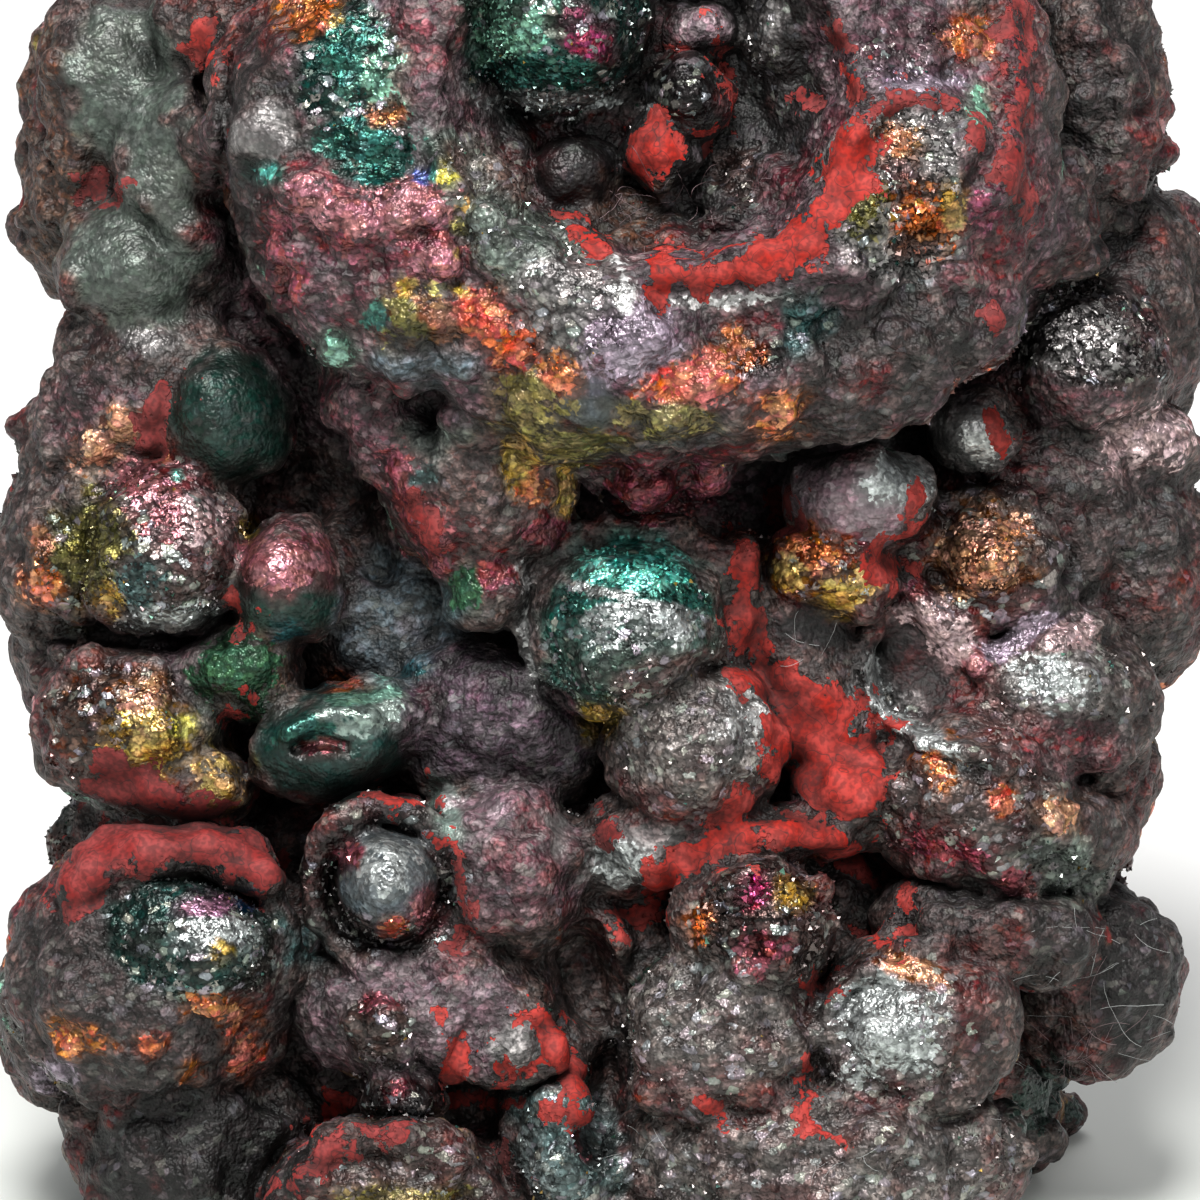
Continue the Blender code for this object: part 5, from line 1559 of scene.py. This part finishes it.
def skin_material():
    """Flakes with dark gaps between them, fine grain, patches of colour and a red coat, as the skin says,
    with painted shade, painted light and painted glints.
    """
    shade = Shade("goethite skin")
    grain = Grain(shade)
    flaky = shade.most(grain.sparkle, shade.times(grain.gloss, 0.6))
    faceted = shade.most(grain.sparkle, shade.times(grain.gloss, 0.25))
    faceted = shade.most(faceted, shade.times(grain.rugged, 0.55))
    bloom, over = bloom_layer(shade, grain)
    coat, red, film = coat_layer(shade, grain)
    bare = shade.less(red)

    colour = shade.mix(shade.times(over, 0.9), ground_colour(shade, grain), bloom)
    gap = shade.ramp(grain.flakes["Distance"], 0.4, 0.7, 1.12, 0.12)
    colour = shade.shift(colour, value=shade.blend(shade.sum(0.1, faceted, 0.85), 1.0, gap))
    # Painted shade and light: the skin's painted shading darkens the colour in crevices, under overhangs and
    # in valleys, and lightens it on ridges
    colour = shade.shift(shade.mix(red, colour, coat), value=shade.attribute("openness")["Fac"])

    rough = shade.sum(shade.sum(0.58, grain.gloss, -0.2), grain.sparkle, -0.26)
    rough = shade.blend(over, shade.sum(rough, grain.speck, 0.12), 0.36)
    rough = shade.blend(red, rough, 0.78)
    metal = shade.sum(shade.times(flaky, shade.span(grain.chance[2], 0.3, 1.0)), over, 0.3)

    normal = shade.tilted(grain.flakes["Color"], shade.times(shade.times(faceted, bare), FLAKE_TILT))
    height = shade.sum(shade.times(grain.speck, shade.sum(0.15, bare, 0.85)), film, 0.35)
    normal = shade.bump(height, GRAIN_BUMP, shade.sum(0.5, grain.rugged, 0.5), normal)
    return shade.finish(Base_Color=colour, Roughness=rough, Metallic=shade.times(metal, bare),
                        Normal=normal, IOR=1.45)


def crystal_material():
    """Shining faces in the colour of the skin under them."""
    shade = Shade("goethite crystals")
    speck = shade.noise(shade.place(), 0.12, 1.0)
    colour = shade.shift(shade.attribute("tint")["Color"], value=shade.span(speck, 0.7, 1.3))
    normal = shade.bump(speck, 0.012, 0.5)
    return shade.finish(Base_Color=colour, Roughness=shade.span(speck, 0.1, 0.34), Metallic=0.6,
                        Normal=normal, IOR=2.0)


def lint_material(name, light, dark):
    """Dull textile fibre, lighter and darker along its length."""
    shade = Shade(name)
    along = shade.noise(shade.place(), 0.4)
    colour = shade.mix(along, linear(light).tolist() + [1], linear(dark).tolist() + [1])
    normal = shade.bump(shade.noise(shade.place(), 0.03), 0.005, 0.6)
    return shade.finish(Base_Color=colour, Roughness=shade.span(along, 0.6, 0.8), Normal=normal)


def floor_material():
    """Pale paper, with painted shade that makes it a little greyer near the camera."""
    shade = Shade("studio floor")
    place = shade.place()
    far = shade.ramp(shade.add("SeparateXYZ", {0: place}).outputs["Y"], -40.0, 60.0)
    colour = shade.mix(far, FLOOR_NEAR_SHADE_COLOUR, FLOOR_FAR_COLOUR)
    colour = shade.shift(colour, value=shade.span(shade.noise(place, 30.0), 0.98, 1.02))
    normal = shade.bump(shade.noise(place, 0.5, 3.0), 0.02, 0.2)
    rough = shade.span(shade.noise(place, 12.0), 0.75, 0.85)
    return shade.finish(Base_Color=colour, Roughness=rough, Normal=normal)


def stands_for_node(piece):
    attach(piece, "root")
    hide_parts("goethite")


def mesh_piece(name, points, faces, material):
    """An object from points in metres and faces as lists of their numbers."""
    mesh = bpy.data.meshes.new(name)
    mesh.from_pydata(points.tolist(), [], faces)
    mesh.materials.append(material)
    piece = bpy.data.objects.new(name, mesh)
    bpy.context.scene.collection.objects.link(piece)
    return piece


def set_colour(mesh, name, colours):
    layer = mesh.attributes.new(name, "FLOAT_COLOR", "POINT")
    full = np.ones((len(colours), 4), np.float32)
    full[:, :3] = colours
    layer.data.foreach_set("color", full.ravel())


def set_number(mesh, name, numbers):
    mesh.attributes.new(name, "FLOAT", "POINT").data.foreach_set("value", numbers.astype(np.float32))


def skin_sections(skin):
    """The quads of each section of the skin: the front by height, and two behind."""
    middle = skin.points[skin.quads[:, 0]]
    front = middle[:, 2] > FRONT_FROM
    for name, low, high in FRONT_SECTIONS:
        yield name, front & (middle[:, 1] > low) & (middle[:, 1] <= high)
    yield "skin-back-upper", ~front & (middle[:, 1] > BACK_SPLIT)
    yield "skin-back-lower", ~front & (middle[:, 1] <= BACK_SPLIT)


def build_skin(skin, material):
    """The skin in its sections, which keep the normals and the numbers of the whole."""
    places = upright(skin.points)
    facing = skin.normals @ np.array([[1, 0, 0], [0, LEAN_SIN, LEAN_COS], [0, -LEAN_COS, LEAN_SIN]])
    for name, chosen in skin_sections(skin):
        quads = skin.quads[chosen]
        used, corners = np.unique(quads, return_inverse=True)
        piece = mesh_piece(name, places[used], corners.reshape(-1, 4).tolist(), material)
        mesh = piece.data
        mesh.shade_smooth()
        mesh.normals_split_custom_set_from_vertices(facing[used])
        set_colour(mesh, "tint", skin.ground[used])
        set_colour(mesh, "bloom", skin.bloom[used])
        set_colour(mesh, "coat", skin.coat[used])
        for attribute in ("gloss", "sparkle", "rugged", "openness", "bloom_amount", "coat_amount"):
            set_number(mesh, attribute, getattr(skin, attribute)[used])
        stands_for_node(piece)


def crystal_spots(skin, rng):
    """The numbers of the points that carry a crystal: clusters of them where the skin sparkles."""
    over_base = upright(skin.points)[:, 2] > 2 * BASE_MARGIN * MM
    weight = skin.sparkle * (skin.coat_amount < CRYSTALS_OFF_COAT) * over_base
    cluster = (CLUSTER_MIDDLE + wave(skin.points, CRYSTAL_CLUSTERS)).clip(CLUSTER_LEAST, 1) ** CLUSTER_CURVE
    weight = cluster * np.where(weight > CRYSTALS_FROM, weight, 0) ** SPARKLE_CURVE
    return rng.choice(len(weight), CRYSTALS, replace=False, p=weight / weight.sum())


def crystal_corners(skin, chosen, rng):
    """The tip of each crystal and the three corners of its base, sunk in the skin."""
    coarse = np.clip((skin.sparkle[chosen] - COARSE_FROM) / (1 - COARSE_FROM), 0, 1)
    size = rng.uniform(*DRUSY_RADII, CRYSTALS) * (1 - coarse) + rng.uniform(*COARSE_RADII, CRYSTALS) * coarse
    axis = skin.normals[chosen] + rng.normal(0, CRYSTAL_TILT / 2, (CRYSTALS, 3))
    axis /= np.linalg.norm(axis, axis=1, keepdims=True)
    side = np.cross(axis, rng.normal(0, 1, (CRYSTALS, 3)))
    side /= np.linalg.norm(side, axis=1, keepdims=True)
    other = np.cross(axis, side)
    centre = skin.points[chosen] - skin.normals[chosen] * (CRYSTAL_SUNK * size)[:, None]
    corners = [centre + axis * (size * rng.uniform(*CRYSTAL_HEIGHTS, CRYSTALS))[:, None]]
    for turn in THIRDS:
        out = side * math.cos(turn) + other * math.sin(turn)
        corners.append(centre + out * (size * rng.uniform(*CRYSTAL_WIDTHS, CRYSTALS))[:, None])
    return upright(np.stack(corners, axis=1).reshape(-1, 3))


def crystal_colours(skin, chosen, rng):
    """Ground or bloom under each crystal, a little brighter, and a few silvery, with the painted shade of the
    skin under them.
    """
    colour = skin.ground[chosen] * rng.uniform(*CRYSTAL_GROUND_LIGHT, (len(chosen), 1))
    bloomed = skin.bloom_amount[chosen] > 0
    colour[bloomed] = skin.bloom[chosen][bloomed] * rng.uniform(*CRYSTAL_BLOOM_LIGHT, (bloomed.sum(), 1))
    silvers = np.array([linear(name) for name in CRYSTAL_SILVERS])
    silvery = rng.random(len(chosen)) < SILVERY_SHARE
    colour[silvery] = silvers[rng.integers(0, len(silvers), silvery.sum())] * SILVERY_LIGHT
    # Painted shade of the skin under each crystal darkens its colour
    return (colour * skin.openness[chosen][:, None]).clip(0, 1)


def build_crystals(skin, material):
    """Three-sided crystals sunk in the skin where it sparkles."""
    rng = np.random.default_rng(CRYSTAL_SEED)
    chosen = crystal_spots(skin, rng)
    points = crystal_corners(skin, chosen, rng)
    first = 4 * np.arange(CRYSTALS)[:, None]
    faces = np.concatenate([first + face for face in ([0, 1, 2], [0, 2, 3], [0, 3, 1], [1, 3, 2])])
    piece = mesh_piece("crystals", points, faces.tolist(), material)
    set_colour(piece.data, "tint", np.repeat(crystal_colours(skin, chosen, rng), 4, axis=0))
    stands_for_node(piece)


def fibre_path(depth, place, length, chance):
    """A curling line that lies on whatever the camera sees at its places."""
    right, up = place
    heading = chance.uniform(0, 2 * math.pi)
    bend = chance.uniform(-LINT_CURL, LINT_CURL)
    arch = chance.uniform(*LINT_ARCH)
    path = []
    for step in range(LINT_POINTS):
        forward = depth_at(depth, (right, up))
        if path and forward > path[-1][2] - LINT_CLIMB:
            forward = max(forward, path[-1][2] - LINT_SAG)
        over_base = FACE_MIDDLE_HEIGHT + up * LEAN_COS + forward * LEAN_SIN
        falls = path and forward < path[-1][2] - LINT_DROP
        if forward < KNOBS_FORWARD_OF or over_base < LINT_OVER_BASE or falls:
            break
        lift = LINT_CLEARANCE + arch * math.sin(math.pi * step / (LINT_POINTS - 1))
        path.append(Vector((right, up, forward + lift)))
        heading += bend + chance.uniform(-LINT_WANDER, LINT_WANDER)
        right += math.cos(heading) * length / LINT_POINTS
        up += math.sin(heading) * length / LINT_POINTS
    return path


def tube(path, radius, points, faces):
    """Adds a thin three-sided tube along a path."""
    start = len(points)
    for at, middle in enumerate(path):
        along = path[min(at + 1, len(path) - 1)] - path[max(at - 1, 0)]
        side = along.cross(Vector((0.3, 0.2, 1))).normalized()
        other = along.cross(side).normalized()
        for turn in THIRDS:
            points.append(middle + radius * (side * math.cos(turn) + other * math.sin(turn)))
    for at in range(len(path) - 1):
        for side in range(3):
            a, b = start + 3 * at + side, start + 3 * at + (side + 1) % 3
            faces.append((a, b, b + 3, a + 3))
    end = start + 3 * (len(path) - 1)
    faces.append((start + 2, start + 1, start))
    faces.append((end, end + 1, end + 2))


def build_lint(block):
    """The fibres of lint, joined in one mesh for each kind."""
    chance = random.Random(LINT_SEED)
    depth = block.front()
    piles = {"pale": ([], []), "brown": ([], [])}
    for _, middle, spread, count, lengths, kind in LINT:
        for _ in range(count):
            place = spot_in((middle, spread), chance)
            path = fibre_path(depth, place, chance.uniform(*lengths), chance)
            if len(path) > 3:
                tube(path, LINT_RADIUS * chance.uniform(*LINT_RADIUS_SPREAD), *piles[kind])
    materials = {
        "pale": lint_material("pale lint", "silver", "pale grey"),
        "brown": lint_material("brown lint", "brown", "pale mauve"),
    }
    for kind, (points, faces) in piles.items():
        piece = mesh_piece("lint-" + kind, upright(np.array(points)), faces, materials[kind])
        piece.data.shade_smooth()
        stands_for_node(piece)


def build_floor():
    low, high = -FLOOR_REACH, FLOOR_REACH
    corners = np.array([(low, low, 0.0), (high, low, 0.0), (high, high, 0.0), (low, high, 0.0)])
    mesh_piece("floor", corners, [(0, 1, 2, 3)], floor_material())


def light_studio():
    """Soft area lights that look at the middle of the face, and a little light from all round."""
    for name, place, size, power, colour in LIGHTS:
        light = bpy.data.lights.new(name, "AREA")
        light.size = size
        light.energy = power
        light.color = colour
        lamp = bpy.data.objects.new(name, light)
        bpy.context.scene.collection.objects.link(lamp)
        lamp.location = place
        aim = Vector((0, 0, FACE_MIDDLE_HEIGHT * MM)) - Vector(place)
        lamp.rotation_euler = aim.to_track_quat("-Z", "Y").to_euler()
    world = bpy.data.worlds.new("studio")
    bpy.context.scene.world = world
    world.use_nodes = True
    background = world.node_tree.nodes["Background"]
    background.inputs["Color"].default_value = DAYLIGHT
    background.inputs["Strength"].default_value = DAYLIGHT_STRENGTH


def aim_camera():
    """Looks squarely at the face, so that its width of view fills the picture."""
    camera = bpy.data.cameras.new("camera")
    camera.sensor_width = SENSOR_WIDTH
    camera.lens = SENSOR_WIDTH * VIEWING_DISTANCE / VIEW_WIDTH
    camera.clip_start = CLIP_START
    eye = bpy.data.objects.new("camera", camera)
    bpy.context.scene.collection.objects.link(eye)
    middle = Vector((FACE_SHIFT, FACE_SETBACK, FACE_MIDDLE_HEIGHT)) * MM
    away = Vector((0, -LEAN_COS, LEAN_SIN))
    eye.location = middle + away * VIEWING_DISTANCE * MM
    eye.rotation_euler = (-away).to_track_quat("-Z", "Y").to_euler()
    bpy.context.scene.camera = eye


def build_specimen():
    block = shaped_block()
    skin = Skin(block)
    paint_occlusion_shade(skin, block)
    paint_ground(skin)
    paint_blooms(skin)
    paint_coats(skin)
    roughen(skin)
    build_skin(skin, skin_material())
    build_crystals(skin, crystal_material())
    build_lint(block)


def set_the_stage():
    build_floor()
    light_studio()
    aim_camera()
    bpy.context.scene.view_settings.view_transform = "Standard"
    for name, most in LIGHT_BOUNCES.items():
        setattr(bpy.context.scene.cycles, name, most)


build_specimen()
set_the_stage()
